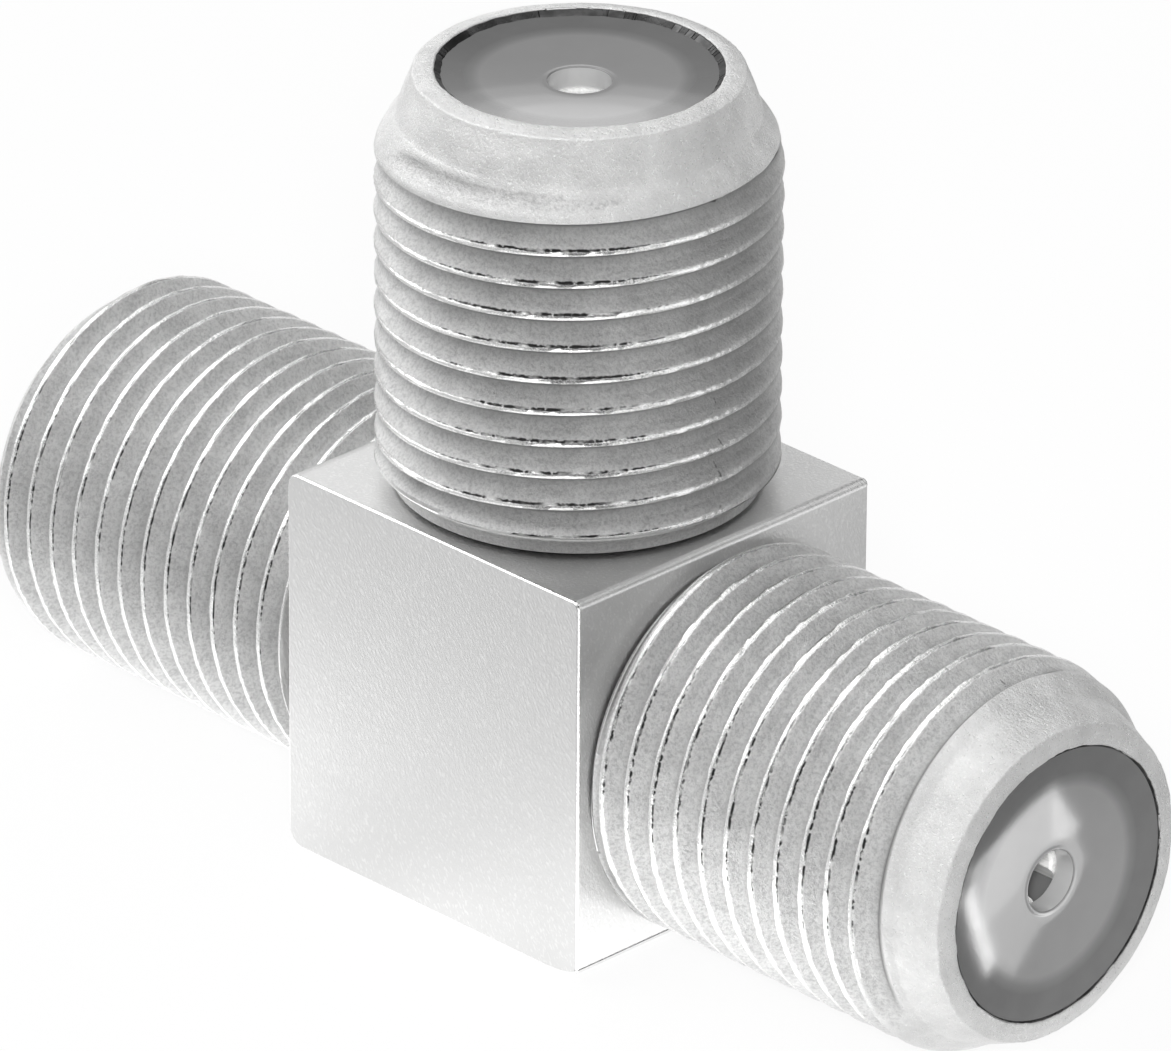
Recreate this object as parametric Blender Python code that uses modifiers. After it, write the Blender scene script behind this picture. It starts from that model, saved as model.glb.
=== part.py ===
"""Coaxial tee: a one-piece cast block with a threaded port at each end and one on top.

Each port is closed by a dished insulator, and slotted spring contacts run through the middle of the bores.
Metres, +Z up. X runs along the two ports in line, and Z along the branch port.
The origin is below the middle of the whole length, at the block's underside, on which the tee stands.
"""

import math

import bmesh
import bpy
from mathutils import Matrix

MM = 0.001

# Block
BLOCK_LENGTH = 9.62 * MM
BLOCK_DEPTH = 9.38 * MM
BLOCK_HEIGHT = 9.66 * MM
BLOCK_FACE_CHAMFER = 0.07 * MM

# Rounding of the block's four long corners, as (across, up)
TOP_RIGHT_ROUND = (0.13 * MM, 0.13 * MM)
TOP_LEFT_ROUND = (0.33 * MM, 0.33 * MM)
BOTTOM_LEFT_ROUND = (0.45 * MM, 0.45 * MM)
BOTTOM_RIGHT_ROUND = (1.20 * MM, 0.25 * MM)
BLOCK_CORNER_SEGMENTS = 4

# Ports: how far each rim stands out from the face of the block
RIGHT_PORT_LENGTH = 10.68 * MM
LEFT_PORT_LENGTH = 11.07 * MM
BRANCH_PORT_LENGTH = 10.33 * MM

# Outside of a port, over the crests of its thread
PORT_RADIUS = 4.70 * MM
THREAD_DEPTH = 0.40 * MM
NECK_LENGTH = 0.70 * MM
NECK_FLAT_LENGTH = 0.30 * MM
RIM_WALL = 0.54 * MM
NOSE_CREASE_RADIUS = 4.20 * MM
NOSE_CONE_LENGTH = 1.13 * MM
SHOULDER_LENGTH = 0.92 * MM
LEFT_NOSE_CONE_LENGTH = 0.52 * MM
LEFT_SHOULDER_LENGTH = 0.42 * MM
SHOULDER_SEGMENTS = 4
PORT_ROOT_OVERLAP = 0.60 * MM

# Bores of the casting
MOUTH_RADIUS = 3.30 * MM
THROUGH_BORE_RADIUS = 2.60 * MM
BRANCH_BORE_RADIUS = 2.45 * MM
CUTTER_OVERRUN = 1.00 * MM

# Front insulators
INSULATOR_RECESS = 0.10 * MM
INSULATOR_THICKNESS = 2.30 * MM
DISH_RADIUS = 3.10 * MM
DISH_DEPTH = 0.20 * MM
LIP_RADIUS = 0.95 * MM
LIP_HEIGHT = 0.05 * MM
PIN_HOLE_RADIUS = 0.75 * MM
PIN_HOLE_CHAMFER = 0.06 * MM
PIN_HOLE_LENGTH = 0.55 * MM

# Spring contacts
BARREL_RADIUS = 1.05 * MM
BARREL_MOUTH_RADIUS = 0.66 * MM
BARREL_WAIST_RADIUS = 0.46 * MM
BARREL_WAIST_DEPTH = 2.40 * MM
BARREL_BORE_DEPTH = 6.20 * MM
BARREL_RIM_CHAMFER = 0.10 * MM
SLOT_WIDTH = 0.34 * MM
SLOT_LENGTH = 4.60 * MM
SLOT_ANGLE = math.radians(-58)
COLLAR_RADIUS = 1.35 * MM
COLLAR_LENGTH = 0.35 * MM
BAR_RADIUS = 0.55 * MM
FORK_DEPTH = 2.00 * MM
FORK_WIDTH = 1.00 * MM
FORK_REACH = 0.60 * MM
FORK_EDGE_RADIUS = 0.08 * MM

# Rear sleeves
SLEEVE_INNER_END = 2.80 * MM

# Clearances
PRESSED_GAP = 0.04 * MM
CONTACT_GAP = 0.05 * MM

# Facets of a full turn
CASTING_FACETS = 60
INSULATOR_FACETS = 48
SLEEVE_FACETS = 32
CONTACT_FACETS = 28

SMOOTH_ANGLE = math.radians(28)
SHARP_ANGLE = math.radians(60)
FLAT_ANGLE = math.radians(1)
MERGE_DISTANCE = 0.000001

# Places that follow from the sizes above
AXIS_HEIGHT = BLOCK_HEIGHT / 2
BRANCH_X = (LEFT_PORT_LENGTH - RIGHT_PORT_LENGTH) / 2
RIGHT_RIM = BLOCK_LENGTH / 2 + RIGHT_PORT_LENGTH
LEFT_RIM = BLOCK_LENGTH / 2 + LEFT_PORT_LENGTH
BRANCH_RIM = BLOCK_HEIGHT / 2 + BRANCH_PORT_LENGTH
CROSSING = (BRANCH_X, 0, AXIS_HEIGHT)

# The turn that takes a port's own upward axis to its direction on the block
TOWARD_RIGHT = (0, math.pi / 2, 0)
TOWARD_LEFT = (0, -math.pi / 2, 0)
TOWARD_TOP = (0, 0, 0)


def clear_scene():
    for obj in list(bpy.data.objects):
        bpy.data.objects.remove(obj, do_unlink=True)


def new_collection(name):
    collection = bpy.data.collections.new(name)
    bpy.context.scene.collection.children.link(collection)
    return collection


def new_material(name, colour, roughness, metallic):
    material = bpy.data.materials.new(name)
    material.use_nodes = True
    shader = material.node_tree.nodes["Principled BSDF"]
    shader.inputs["Base Color"].default_value = (*colour, 1)
    shader.inputs["Roughness"].default_value = roughness
    shader.inputs["Metallic"].default_value = metallic
    return material


def nickel_plate():
    return new_material("nickel_plate", (0.66, 0.66, 0.65), 0.30, 1)


def grey_dielectric():
    return new_material("grey_dielectric", (0.22, 0.22, 0.22), 0.16, 0)


def white_dielectric():
    return new_material("white_dielectric", (0.78, 0.78, 0.75), 0.40, 0)


def spring_metal():
    return new_material("spring_metal", (0.80, 0.79, 0.76), 0.22, 1)


def applied(obj):
    """Replaces the object's mesh by the one its modifiers make, shaded smooth up to the sharp edges."""
    graph = bpy.context.evaluated_depsgraph_get()
    mesh = bpy.data.meshes.new_from_object(obj.evaluated_get(graph))
    mesh.name = obj.name
    obj.modifiers.clear()
    obj.data = mesh
    mesh.shade_smooth()
    mesh.set_sharp_from_angle(angle=SMOOTH_ANGLE)
    return obj


def turned(name, collection, profile, facets, ring):
    """A body turned about its own Z from (radius, height) points, read down the outer side.

    A ring's profile closes on itself. Any other profile starts and ends on the axis.
    """
    count = len(profile)
    edges = [(index, index + 1) for index in range(count - 1)]
    if ring:
        edges.append((count - 1, 0))
    mesh = bpy.data.meshes.new(name)
    mesh.from_pydata([(radius, 0, height) for radius, height in profile], edges, [])
    obj = bpy.data.objects.new(name, mesh)
    collection.objects.link(obj)
    screw = obj.modifiers.new("turn", "SCREW")
    screw.angle = math.tau
    screw.steps = facets
    screw.render_steps = facets
    screw.use_merge_vertices = True
    screw.merge_threshold = MERGE_DISTANCE
    return applied(obj)


def as_cutter(obj):
    obj.hide_render = True
    obj.display_type = "WIRE"
    return obj


def combine(obj, other, operation):
    boolean = obj.modifiers.new(other.name, "BOOLEAN")
    boolean.operation = operation
    boolean.solver = "EXACT"
    boolean.object = as_cutter(other)


def move_to(obj, collection):
    """Takes an object out of the collections it is in and puts it in the given one."""
    for owner in list(obj.users_collection):
        owner.objects.unlink(obj)
    collection.objects.link(obj)


def place(obj, location, rotation):
    obj.location = location
    obj.rotation_euler = rotation
    return obj


def shoulder_points(crease_height, end_height):
    """The rounded shoulder from the nose's crease out to the full radius, as a quarter of an ellipse."""
    across = PORT_RADIUS - NOSE_CREASE_RADIUS
    along = crease_height - end_height
    points = []
    for index in range(1, SHOULDER_SEGMENTS + 1):
        angle = math.pi / 2 * index / SHOULDER_SEGMENTS
        radius = NOSE_CREASE_RADIUS + across * math.sin(angle)
        height = end_height + along * math.cos(angle)
        points.append((radius, height))
    return points


def port_profile(rim, base, cone_length, shoulder_length):
    """Outside of a port, from its rim down over nose, thread crests and neck into the block."""
    neck_radius = PORT_RADIUS - THREAD_DEPTH
    crease_height = rim - cone_length
    profile = [(0, rim), (MOUTH_RADIUS + RIM_WALL, rim), (NOSE_CREASE_RADIUS, crease_height)]
    profile += shoulder_points(crease_height, crease_height - shoulder_length)
    profile.append((PORT_RADIUS, base + NECK_LENGTH))
    profile.append((neck_radius, base + NECK_FLAT_LENGTH))
    profile.append((neck_radius, base - PORT_ROOT_OVERLAP))
    profile.append((0, base - PORT_ROOT_OVERLAP))
    return profile


def mouth_depth():
    return INSULATOR_RECESS + INSULATOR_THICKNESS + PRESSED_GAP


def corner_points(side, level, across, up):
    """A rounded corner of the block's outline: a quarter of an ellipse from its side to its top or underside."""
    middle_x = side * (BLOCK_LENGTH / 2 - across)
    middle_z = level * (BLOCK_HEIGHT / 2 - up)
    points = []
    for index in range(BLOCK_CORNER_SEGMENTS + 1):
        angle = math.pi / 2 * index / BLOCK_CORNER_SEGMENTS
        points.append((middle_x + side * across * math.cos(angle), middle_z + level * up * math.sin(angle)))
    return points


def block_outline():
    """The block's outline as seen along its depth, round from the right side over the top."""
    top_right = corner_points(1, 1, *TOP_RIGHT_ROUND)
    top_left = corner_points(-1, 1, *TOP_LEFT_ROUND)
    bottom_left = corner_points(-1, -1, *BOTTOM_LEFT_ROUND)
    bottom_right = corner_points(1, -1, *BOTTOM_RIGHT_ROUND)
    return top_right + top_left[::-1] + bottom_left + bottom_right[::-1]


def extruded(name, collection, outline, depth):
    """A closed flat outline of (x, z) points as a solid of the given depth, centred on its plane."""
    curve = bpy.data.curves.new(name + "_outline", "CURVE")
    curve.dimensions = "2D"
    curve.fill_mode = "BOTH"
    curve.extrude = depth / 2
    spline = curve.splines.new("POLY")
    spline.points.add(len(outline) - 1)
    for point, (x, z) in zip(spline.points, outline):
        point.co = (x, z, 0, 1)
    spline.use_cyclic_u = True
    drawn = bpy.data.objects.new(name + "_outline", curve)
    collection.objects.link(drawn)
    graph = bpy.context.evaluated_depsgraph_get()
    mesh = bpy.data.meshes.new_from_object(drawn.evaluated_get(graph))
    bpy.data.objects.remove(drawn)
    mesh.name = name
    mesh.transform(Matrix.Rotation(math.pi / 2, 4, "X"))
    shape = bmesh.new()
    shape.from_mesh(mesh)
    bmesh.ops.remove_doubles(shape, verts=shape.verts, dist=MERGE_DISTANCE)
    bmesh.ops.dissolve_limit(shape, angle_limit=FLAT_ANGLE, verts=shape.verts, edges=shape.edges)
    bmesh.ops.recalc_face_normals(shape, faces=shape.faces)
    shape.to_mesh(mesh)
    shape.free()
    obj = bpy.data.objects.new(name, mesh)
    collection.objects.link(obj)
    return obj


def make_block(collection):
    """The square block, its long corners rounded and the outline of its two flat faces chamfered."""
    block = extruded("body_casting", collection, block_outline(), BLOCK_DEPTH)
    chamfer = block.modifiers.new("face outlines", "BEVEL")
    chamfer.limit_method = "ANGLE"
    chamfer.angle_limit = SHARP_ANGLE
    chamfer.width = BLOCK_FACE_CHAMFER
    chamfer.segments = 1
    return applied(block)


def make_port(name, cutters, half_block, length, cone_length, shoulder_length, turn):
    rim = half_block + length
    profile = port_profile(rim, half_block, cone_length, shoulder_length)
    port = turned(name, cutters, profile, CASTING_FACETS, False)
    return place(port, CROSSING, turn)


def through_bore_profile():
    """The stepped bore that runs from end to end, wide at both mouths."""
    right_step = RIGHT_RIM - mouth_depth()
    left_step = LEFT_RIM - mouth_depth()
    return [
        (0, RIGHT_RIM + CUTTER_OVERRUN),
        (MOUTH_RADIUS, RIGHT_RIM + CUTTER_OVERRUN),
        (MOUTH_RADIUS, right_step),
        (THROUGH_BORE_RADIUS, right_step),
        (THROUGH_BORE_RADIUS, -left_step),
        (MOUTH_RADIUS, -left_step),
        (MOUTH_RADIUS, -LEFT_RIM - CUTTER_OVERRUN),
        (0, -LEFT_RIM - CUTTER_OVERRUN),
    ]


def branch_bore_profile():
    """The stepped bore of the top port, which ends in the middle of the through bore."""
    step = BRANCH_RIM - mouth_depth()
    return [
        (0, BRANCH_RIM + CUTTER_OVERRUN),
        (MOUTH_RADIUS, BRANCH_RIM + CUTTER_OVERRUN),
        (MOUTH_RADIUS, step),
        (BRANCH_BORE_RADIUS, step),
        (BRANCH_BORE_RADIUS, 0),
        (0, 0),
    ]


def make_casting(collection, cutters, material):
    casting = place(make_block(collection), CROSSING, TOWARD_TOP)
    casting.data.materials.append(material)
    half_length = BLOCK_LENGTH / 2
    half_height = BLOCK_HEIGHT / 2
    plain_nose = (NOSE_CONE_LENGTH, SHOULDER_LENGTH)
    left_nose = (LEFT_NOSE_CONE_LENGTH, LEFT_SHOULDER_LENGTH)
    ports = [
        make_port("port_right", cutters, half_length, RIGHT_PORT_LENGTH, *plain_nose, TOWARD_RIGHT),
        make_port("port_left", cutters, half_length, LEFT_PORT_LENGTH, *left_nose, TOWARD_LEFT),
        make_port("port_branch", cutters, half_height, BRANCH_PORT_LENGTH, *plain_nose, TOWARD_TOP),
    ]
    through_bore = turned("bore_through", cutters, through_bore_profile(), CASTING_FACETS, False)
    place(through_bore, CROSSING, TOWARD_RIGHT)
    branch_bore = turned("bore_branch", cutters, branch_bore_profile(), CASTING_FACETS, False)
    place(branch_bore, CROSSING, TOWARD_TOP)
    for port in ports:
        port.data.materials.append(material)
        combine(casting, port, "UNION")
    for bore in (through_bore, branch_bore):
        combine(casting, bore, "DIFFERENCE")
    return casting


def insulator_profile(rim):
    """A disc dished round a lipped pin hole, hollow behind it for the contact's barrel."""
    outer = MOUTH_RADIUS - PRESSED_GAP
    face = rim - INSULATOR_RECESS
    back = face - INSULATOR_THICKNESS
    dish_floor = face - DISH_DEPTH
    lip_top = dish_floor + LIP_HEIGHT
    pocket_radius = BARREL_RADIUS + 2 * CONTACT_GAP
    pocket_top = lip_top - PIN_HOLE_LENGTH
    lip_foot = LIP_RADIUS + LIP_HEIGHT
    dish_middle = (LIP_RADIUS + DISH_RADIUS) / 2
    dish_middle_height = face - DISH_DEPTH * (1 - (dish_middle / DISH_RADIUS) ** 2) / (
        1 - (lip_foot / DISH_RADIUS) ** 2
    )
    return [
        (outer, face),
        (outer, back),
        (pocket_radius, back),
        (pocket_radius, pocket_top),
        (PIN_HOLE_RADIUS, pocket_top),
        (PIN_HOLE_RADIUS, lip_top - PIN_HOLE_CHAMFER),
        (PIN_HOLE_RADIUS + PIN_HOLE_CHAMFER, lip_top),
        (LIP_RADIUS, lip_top),
        (lip_foot, dish_floor),
        (dish_middle, dish_middle_height),
        (DISH_RADIUS, face),
    ]


def make_insulator(name, collection, material, rim, turn):
    insulator = turned(name, collection, insulator_profile(rim), INSULATOR_FACETS, True)
    insulator.data.materials.append(material)
    return place(insulator, CROSSING, turn)


def sleeve_profile(rim, bore_radius):
    """The plain sleeve between the insulator's back and the contact's collar."""
    outer = bore_radius - PRESSED_GAP
    inner = BARREL_RADIUS + CONTACT_GAP
    front = rim - mouth_depth()
    return [(outer, front), (outer, SLEEVE_INNER_END), (inner, SLEEVE_INNER_END), (inner, front)]


def make_sleeve(name, collection, material, rim, bore_radius, turn):
    sleeve = turned(name, collection, sleeve_profile(rim, bore_radius), SLEEVE_FACETS, True)
    sleeve.data.materials.append(material)
    return place(sleeve, CROSSING, turn)


def barrel_tip(rim):
    """Height of a contact's open end, just behind the wall round the pin hole."""
    lip_top = rim - INSULATOR_RECESS - DISH_DEPTH + LIP_HEIGHT
    return lip_top - PIN_HOLE_LENGTH - CONTACT_GAP


def collar_top():
    return SLEEVE_INNER_END - CONTACT_GAP


def barrel_bore_points(tip):
    """The tapering bore of a barrel, from its floor on the axis up to its open end."""
    floor = tip - BARREL_BORE_DEPTH
    return [
        (0, floor),
        (BARREL_WAIST_RADIUS, floor),
        (BARREL_WAIST_RADIUS, tip - BARREL_WAIST_DEPTH),
        (BARREL_MOUTH_RADIUS, tip),
    ]


def barrel_side_points(tip):
    """The outside of a barrel from its open end down over the collar."""
    return [
        (BARREL_RADIUS - BARREL_RIM_CHAMFER, tip),
        (BARREL_RADIUS, tip - BARREL_RIM_CHAMFER),
        (BARREL_RADIUS, collar_top()),
        (COLLAR_RADIUS, collar_top()),
        (COLLAR_RADIUS, collar_top() - COLLAR_LENGTH),
    ]


def through_contact_profile():
    right_tip = barrel_tip(RIGHT_RIM)
    left_tip = barrel_tip(LEFT_RIM)
    bar_end = collar_top() - COLLAR_LENGTH
    profile = barrel_bore_points(right_tip) + barrel_side_points(right_tip)
    profile += [(BAR_RADIUS, bar_end), (BAR_RADIUS, -bar_end)]
    profile += [(radius, -height) for radius, height in reversed(barrel_side_points(left_tip))]
    profile += [(radius, -height) for radius, height in reversed(barrel_bore_points(left_tip))]
    return profile


def branch_contact_profile():
    tip = barrel_tip(BRANCH_RIM)
    foot = collar_top() - COLLAR_LENGTH
    return barrel_bore_points(tip) + barrel_side_points(tip) + [(0, foot)]


def slot_cutter(name, cutters, tip, turn):
    """A blade that slots both walls of a barrel from its open end."""
    length = SLOT_LENGTH + CUTTER_OVERRUN
    span = 2 * (BARREL_RADIUS + CUTTER_OVERRUN)
    middle = tip + CUTTER_OVERRUN - length / 2
    bpy.ops.mesh.primitive_cube_add(size=1)
    blade = bpy.context.object
    blade.name = name
    blade.data.transform(Matrix.Diagonal((SLOT_WIDTH, span, length, 1)))
    blade.data.transform(Matrix.Translation((0, 0, middle)))
    blade.data.transform(Matrix.Rotation(SLOT_ANGLE, 4, "Z"))
    move_to(blade, cutters)
    return place(blade, CROSSING, turn)


def make_through_contact(collection, cutters, material):
    contact = turned("through_contact", collection, through_contact_profile(), CONTACT_FACETS, False)
    contact.data.materials.append(material)
    place(contact, CROSSING, TOWARD_RIGHT)
    combine(contact, slot_cutter("slot_right", cutters, barrel_tip(RIGHT_RIM), TOWARD_RIGHT), "DIFFERENCE")
    combine(contact, slot_cutter("slot_left", cutters, barrel_tip(LEFT_RIM), TOWARD_LEFT), "DIFFERENCE")
    return contact


def make_fork(cutters):
    """The forked tail: a slab under the collar, with rounded edges, that reaches past the bar."""
    top = collar_top() - COLLAR_LENGTH / 2
    height = top + FORK_REACH
    bpy.ops.mesh.primitive_cube_add(size=1)
    fork = bpy.context.object
    fork.name = "branch_fork"
    fork.data.transform(Matrix.Diagonal((FORK_WIDTH, FORK_DEPTH, height, 1)))
    fork.data.transform(Matrix.Translation((0, 0, top - height / 2)))
    move_to(fork, cutters)
    rounding = fork.modifiers.new("edges", "BEVEL")
    rounding.width = FORK_EDGE_RADIUS
    rounding.segments = 1
    applied(fork)
    return place(fork, CROSSING, TOWARD_TOP)


def fork_gap_radius():
    """Half the width of the gap between the fork's prongs, which is round over the bar."""
    return BAR_RADIUS + CONTACT_GAP


def fork_cutters(cutters):
    radius = fork_gap_radius()
    length = 2 * FORK_WIDTH
    drop = FORK_REACH + CUTTER_OVERRUN
    bpy.ops.mesh.primitive_cylinder_add(vertices=CONTACT_FACETS, radius=radius, depth=length)
    crown = bpy.context.object
    crown.name = "fork_crown"
    bpy.ops.mesh.primitive_cube_add(size=1)
    gap = bpy.context.object
    gap.name = "fork_gap"
    gap.data.transform(Matrix.Diagonal((length, 2 * radius, drop, 1)))
    gap.data.transform(Matrix.Translation((0, 0, -drop / 2)))
    for obj in (crown, gap):
        move_to(obj, cutters)
    place(crown, CROSSING, TOWARD_RIGHT)
    place(gap, CROSSING, TOWARD_TOP)
    return crown, gap


def make_branch_contact(collection, cutters, material):
    contact = turned("branch_contact", collection, branch_contact_profile(), CONTACT_FACETS, False)
    contact.data.materials.append(material)
    place(contact, CROSSING, TOWARD_TOP)
    combine(contact, make_fork(cutters), "UNION")
    for cutter in fork_cutters(cutters):
        combine(contact, cutter, "DIFFERENCE")
    combine(contact, slot_cutter("slot_branch", cutters, barrel_tip(BRANCH_RIM), TOWARD_TOP), "DIFFERENCE")
    return contact


def main():
    clear_scene()
    parts = new_collection("coaxial_tee")
    cutters = new_collection("coaxial_tee_cutters")
    make_casting(parts, cutters, nickel_plate())
    grey = grey_dielectric()
    make_insulator("front_insulator_right", parts, grey, RIGHT_RIM, TOWARD_RIGHT)
    make_insulator("front_insulator_left", parts, grey, LEFT_RIM, TOWARD_LEFT)
    make_insulator("front_insulator_branch", parts, grey, BRANCH_RIM, TOWARD_TOP)
    white = white_dielectric()
    make_sleeve("rear_sleeve_right", parts, white, RIGHT_RIM, THROUGH_BORE_RADIUS, TOWARD_RIGHT)
    make_sleeve("rear_sleeve_left", parts, white, LEFT_RIM, THROUGH_BORE_RADIUS, TOWARD_LEFT)
    make_sleeve("rear_sleeve_branch", parts, white, BRANCH_RIM, BRANCH_BORE_RADIUS, TOWARD_TOP)
    spring = spring_metal()
    make_through_contact(parts, cutters, spring)
    make_branch_contact(parts, cutters, spring)


main()
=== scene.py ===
"""Looks of a cast coaxial tee: threaded ports, dished insulators, spring contacts and a plain studio.

Metres, +Z up, X along the two ports in line. Everything is built round the fixed frame of the CAD part.
"""

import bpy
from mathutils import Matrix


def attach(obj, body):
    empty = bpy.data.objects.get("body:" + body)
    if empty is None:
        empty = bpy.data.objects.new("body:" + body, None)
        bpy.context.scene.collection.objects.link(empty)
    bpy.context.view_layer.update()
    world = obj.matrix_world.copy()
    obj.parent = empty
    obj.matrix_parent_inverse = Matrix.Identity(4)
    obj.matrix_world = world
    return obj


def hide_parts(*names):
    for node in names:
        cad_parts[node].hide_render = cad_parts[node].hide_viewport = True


bl_info = {
    "name": "Coaxial Tee",
    "version": (1, 0, 0),
    "blender": (4, 5, 0),
    "location": "View3D > Sidebar > Tee",
    "description": "Builds a cast coaxial tee with threaded ports, insulators and contacts",
    "category": "Add Mesh",
}

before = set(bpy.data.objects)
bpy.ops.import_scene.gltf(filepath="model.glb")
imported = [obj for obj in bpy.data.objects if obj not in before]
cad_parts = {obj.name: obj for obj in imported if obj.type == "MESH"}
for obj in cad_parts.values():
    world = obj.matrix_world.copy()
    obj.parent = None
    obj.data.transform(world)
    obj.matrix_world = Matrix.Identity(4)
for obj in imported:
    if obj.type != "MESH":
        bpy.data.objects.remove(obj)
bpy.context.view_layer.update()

import math
from collections import namedtuple

import bmesh
import bpy
import numpy as np
from bpy.props import FloatProperty, FloatVectorProperty, IntProperty, PointerProperty
from mathutils import Matrix, Vector

MM = 0.001
BODY = "root"
JOIN_DISTANCE = 1e-7
PLACE_TOLERANCE = 1e-6

# Turns that take a port's own upward axis to its direction on the block
TO_RIGHT = Matrix.Rotation(math.pi / 2, 4, "Y")
TO_LEFT = Matrix.Rotation(-math.pi / 2, 4, "Y")
TO_TOP = Matrix.Identity(4)


def length(name, description, value):
    """A size, whose default is given in millimetres."""
    return FloatProperty(name=name, description=description, default=value * MM, unit="LENGTH", precision=6)


def angle_of(name, description, value):
    """An angle, whose default is given in degrees."""
    return FloatProperty(name=name, description=description, default=math.radians(value), subtype="ANGLE")


def colour(name, description, value):
    """A colour, as its linear red, green and blue shares."""
    return FloatVectorProperty(
        name=name, description=description, default=value, size=3, subtype="COLOR", min=0, max=1
    )


class TeeBlockSizes(bpy.types.PropertyGroup):
    length_x: length("Block length", "Size of the block along the two ports in line", 9.62)
    depth_y: length("Block depth", "Size of the block from its front face to its back face", 9.38)
    height_z: length("Block height", "Size of the block from its underside to the foot of the top port", 9.66)
    top_right_round: length("Top right rounding", "Rounding of the long edge over the right port", 0.13)
    top_left_round: length("Top left rounding", "Rounding of the long edge over the left port", 0.33)
    foot_left_round: length("Foot left rounding", "Rounding of the long edge under the left port", 0.45)
    foot_right_across: length("Foot right width", "Width of the shallow rounding under the right port", 1.20)
    foot_right_up: length("Foot right height", "Height of the shallow rounding under the right port", 0.25)
    face_chamfer: length("Face chamfer", "Narrow bright edge round the front and back faces", 0.08)


class TeePortSizes(bpy.types.PropertyGroup):
    right_length: length("Right port", "How far the right rim stands out from the block", 10.68)
    left_length: length("Left port", "How far the left rim stands out from the block", 11.07)
    branch_length: length("Top port", "How far the top rim stands out from the block", 10.33)
    crest_radius: length("Crest radius", "Radius over the crests of the thread", 4.70)
    neck_radius: length("Neck radius", "Radius of the plain neck next to the block", 4.30)
    neck_length: length("Neck length", "Length of the plain neck under the top port", 0.66)
    right_neck_length: length("Right neck length", "Length of the plain neck behind the right port", 0.45)
    left_neck_length: length("Left neck length", "Length of the plain neck behind the left port", 0.25)
    rim_radius: length("Rim radius", "Outer radius of the flat rim", 3.84)
    crease_radius: length("Crease radius", "Radius where the nose cone meets the shoulder", 4.20)
    cone_length: length("Cone length", "Length of the nose cone", 1.13)
    shoulder_length: length("Shoulder length", "Length of the rounded shoulder", 0.92)
    shoulder_power: FloatProperty(
        name="Shoulder power", description="How late the shoulder falls off", default=1.55
    )
    cone_swell: length("Cone swell", "Bulge of the nose cone", 0.02)
    rim_drop: length("Rim drop", "How far the rim falls off towards its outer edge", 0.09)
    left_cone_length: length("Left cone length", "Length of the nose cone on the left port", 0.52)
    left_shoulder_length: length(
        "Left shoulder length", "Length of the rounded shoulder on the left port", 0.42
    )
    mouth_radius: length("Mouth radius", "Radius of the mouth that holds the insulator", 3.32)
    mouth_depth: length("Mouth depth", "Depth of the mouth behind the rim", 2.44)
    through_bore_radius: length("Through bore radius", "Radius of the bore between the ports in line", 2.60)
    branch_bore_radius: length("Top bore radius", "Radius of the bore of the top port", 2.45)
    columns: IntProperty(name="Columns", description="Facets round each port", default=230, min=48)


class TeeThreadSizes(bpy.types.PropertyGroup):
    pitch: length("Pitch", "Rise of the thread in one turn", 0.79375)
    depth: length("Depth", "Depth of the thread below its crests", 0.39)
    least_depth: length("Least depth", "Depth where the mould halves pull clear", 0.10)
    edge_drop: length("Edge drop", "How far the worn edges of the crest fall off", 0.035)
    burr: length("Burr", "Height of the ragged burr along the crest's edge", 0.050)
    run_out: length("Run-out", "Length over which the thread fades at both ends", 0.30)
    seam: length("Seam", "Height of the parting seam in the roots", 0.05)


class TeeInsulatorSizes(bpy.types.PropertyGroup):
    outer_radius: length("Disc radius", "Radius of the insulating disc", 3.29)
    edge_radius: length("Disc edge", "Radius of the disc's face inside the dark gap round it", 3.285)
    thickness: length("Thickness", "Thickness of the disc", 2.20)
    dish_radius: length("Dish radius", "Radius of the dished middle", 3.277)
    dish_depth: length("Dish depth", "Depth of the dish", 0.23)
    lip_radius: length("Lip radius", "Radius at which the dish starts to rise to the pin hole", 0.88)
    lip_height: length("Lip height", "Height of the lip above the dish", 0.004)
    thin_radius: length("Thin middle", "Radius of the thin middle, which looks paler", 2.30)
    hole_radius: length("Pin hole radius", "Radius of the pin hole", 0.74)
    hole_edge: length("Pin hole edge", "Rounding of the pin hole's edge", 0.03)
    hole_length: length("Pin hole length", "Length of the wall round the pin hole", 0.55)
    pocket_radius: length("Pocket radius", "Radius of the pocket that takes the contact", 1.15)


class TeeContactSizes(bpy.types.PropertyGroup):
    barrel_radius: length("Barrel radius", "Outer radius of the spring barrels", 1.05)
    mouth_radius: length("Barrel mouth", "Inner radius of a barrel at its open end", 0.66)
    waist_radius: length("Barrel waist", "Inner radius of a barrel where it grips the pin", 0.46)
    waist_depth: length("Waist depth", "How far the waist lies behind the open end", 2.40)
    bore_depth: length("Barrel bore depth", "Depth of a barrel's bore", 6.20)
    collar_radius: length("Collar radius", "Radius of the collar behind a sleeve", 1.35)
    collar_length: length("Collar length", "Length of the collar", 0.35)
    collar_at: length("Collar place", "How far the collar's outer face lies from the crossing", 2.75)
    bar_radius: length("Bar radius", "Radius of the bar between the two barrels", 0.55)
    tip_depth: length("Tip depth", "How far the open end lies behind the rim", 0.84)
    slot_width: length("Slot width", "Width of the slot between the spring fingers", 0.80)
    slot_length: length("Slot length", "Length of the slot", 4.60)


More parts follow.
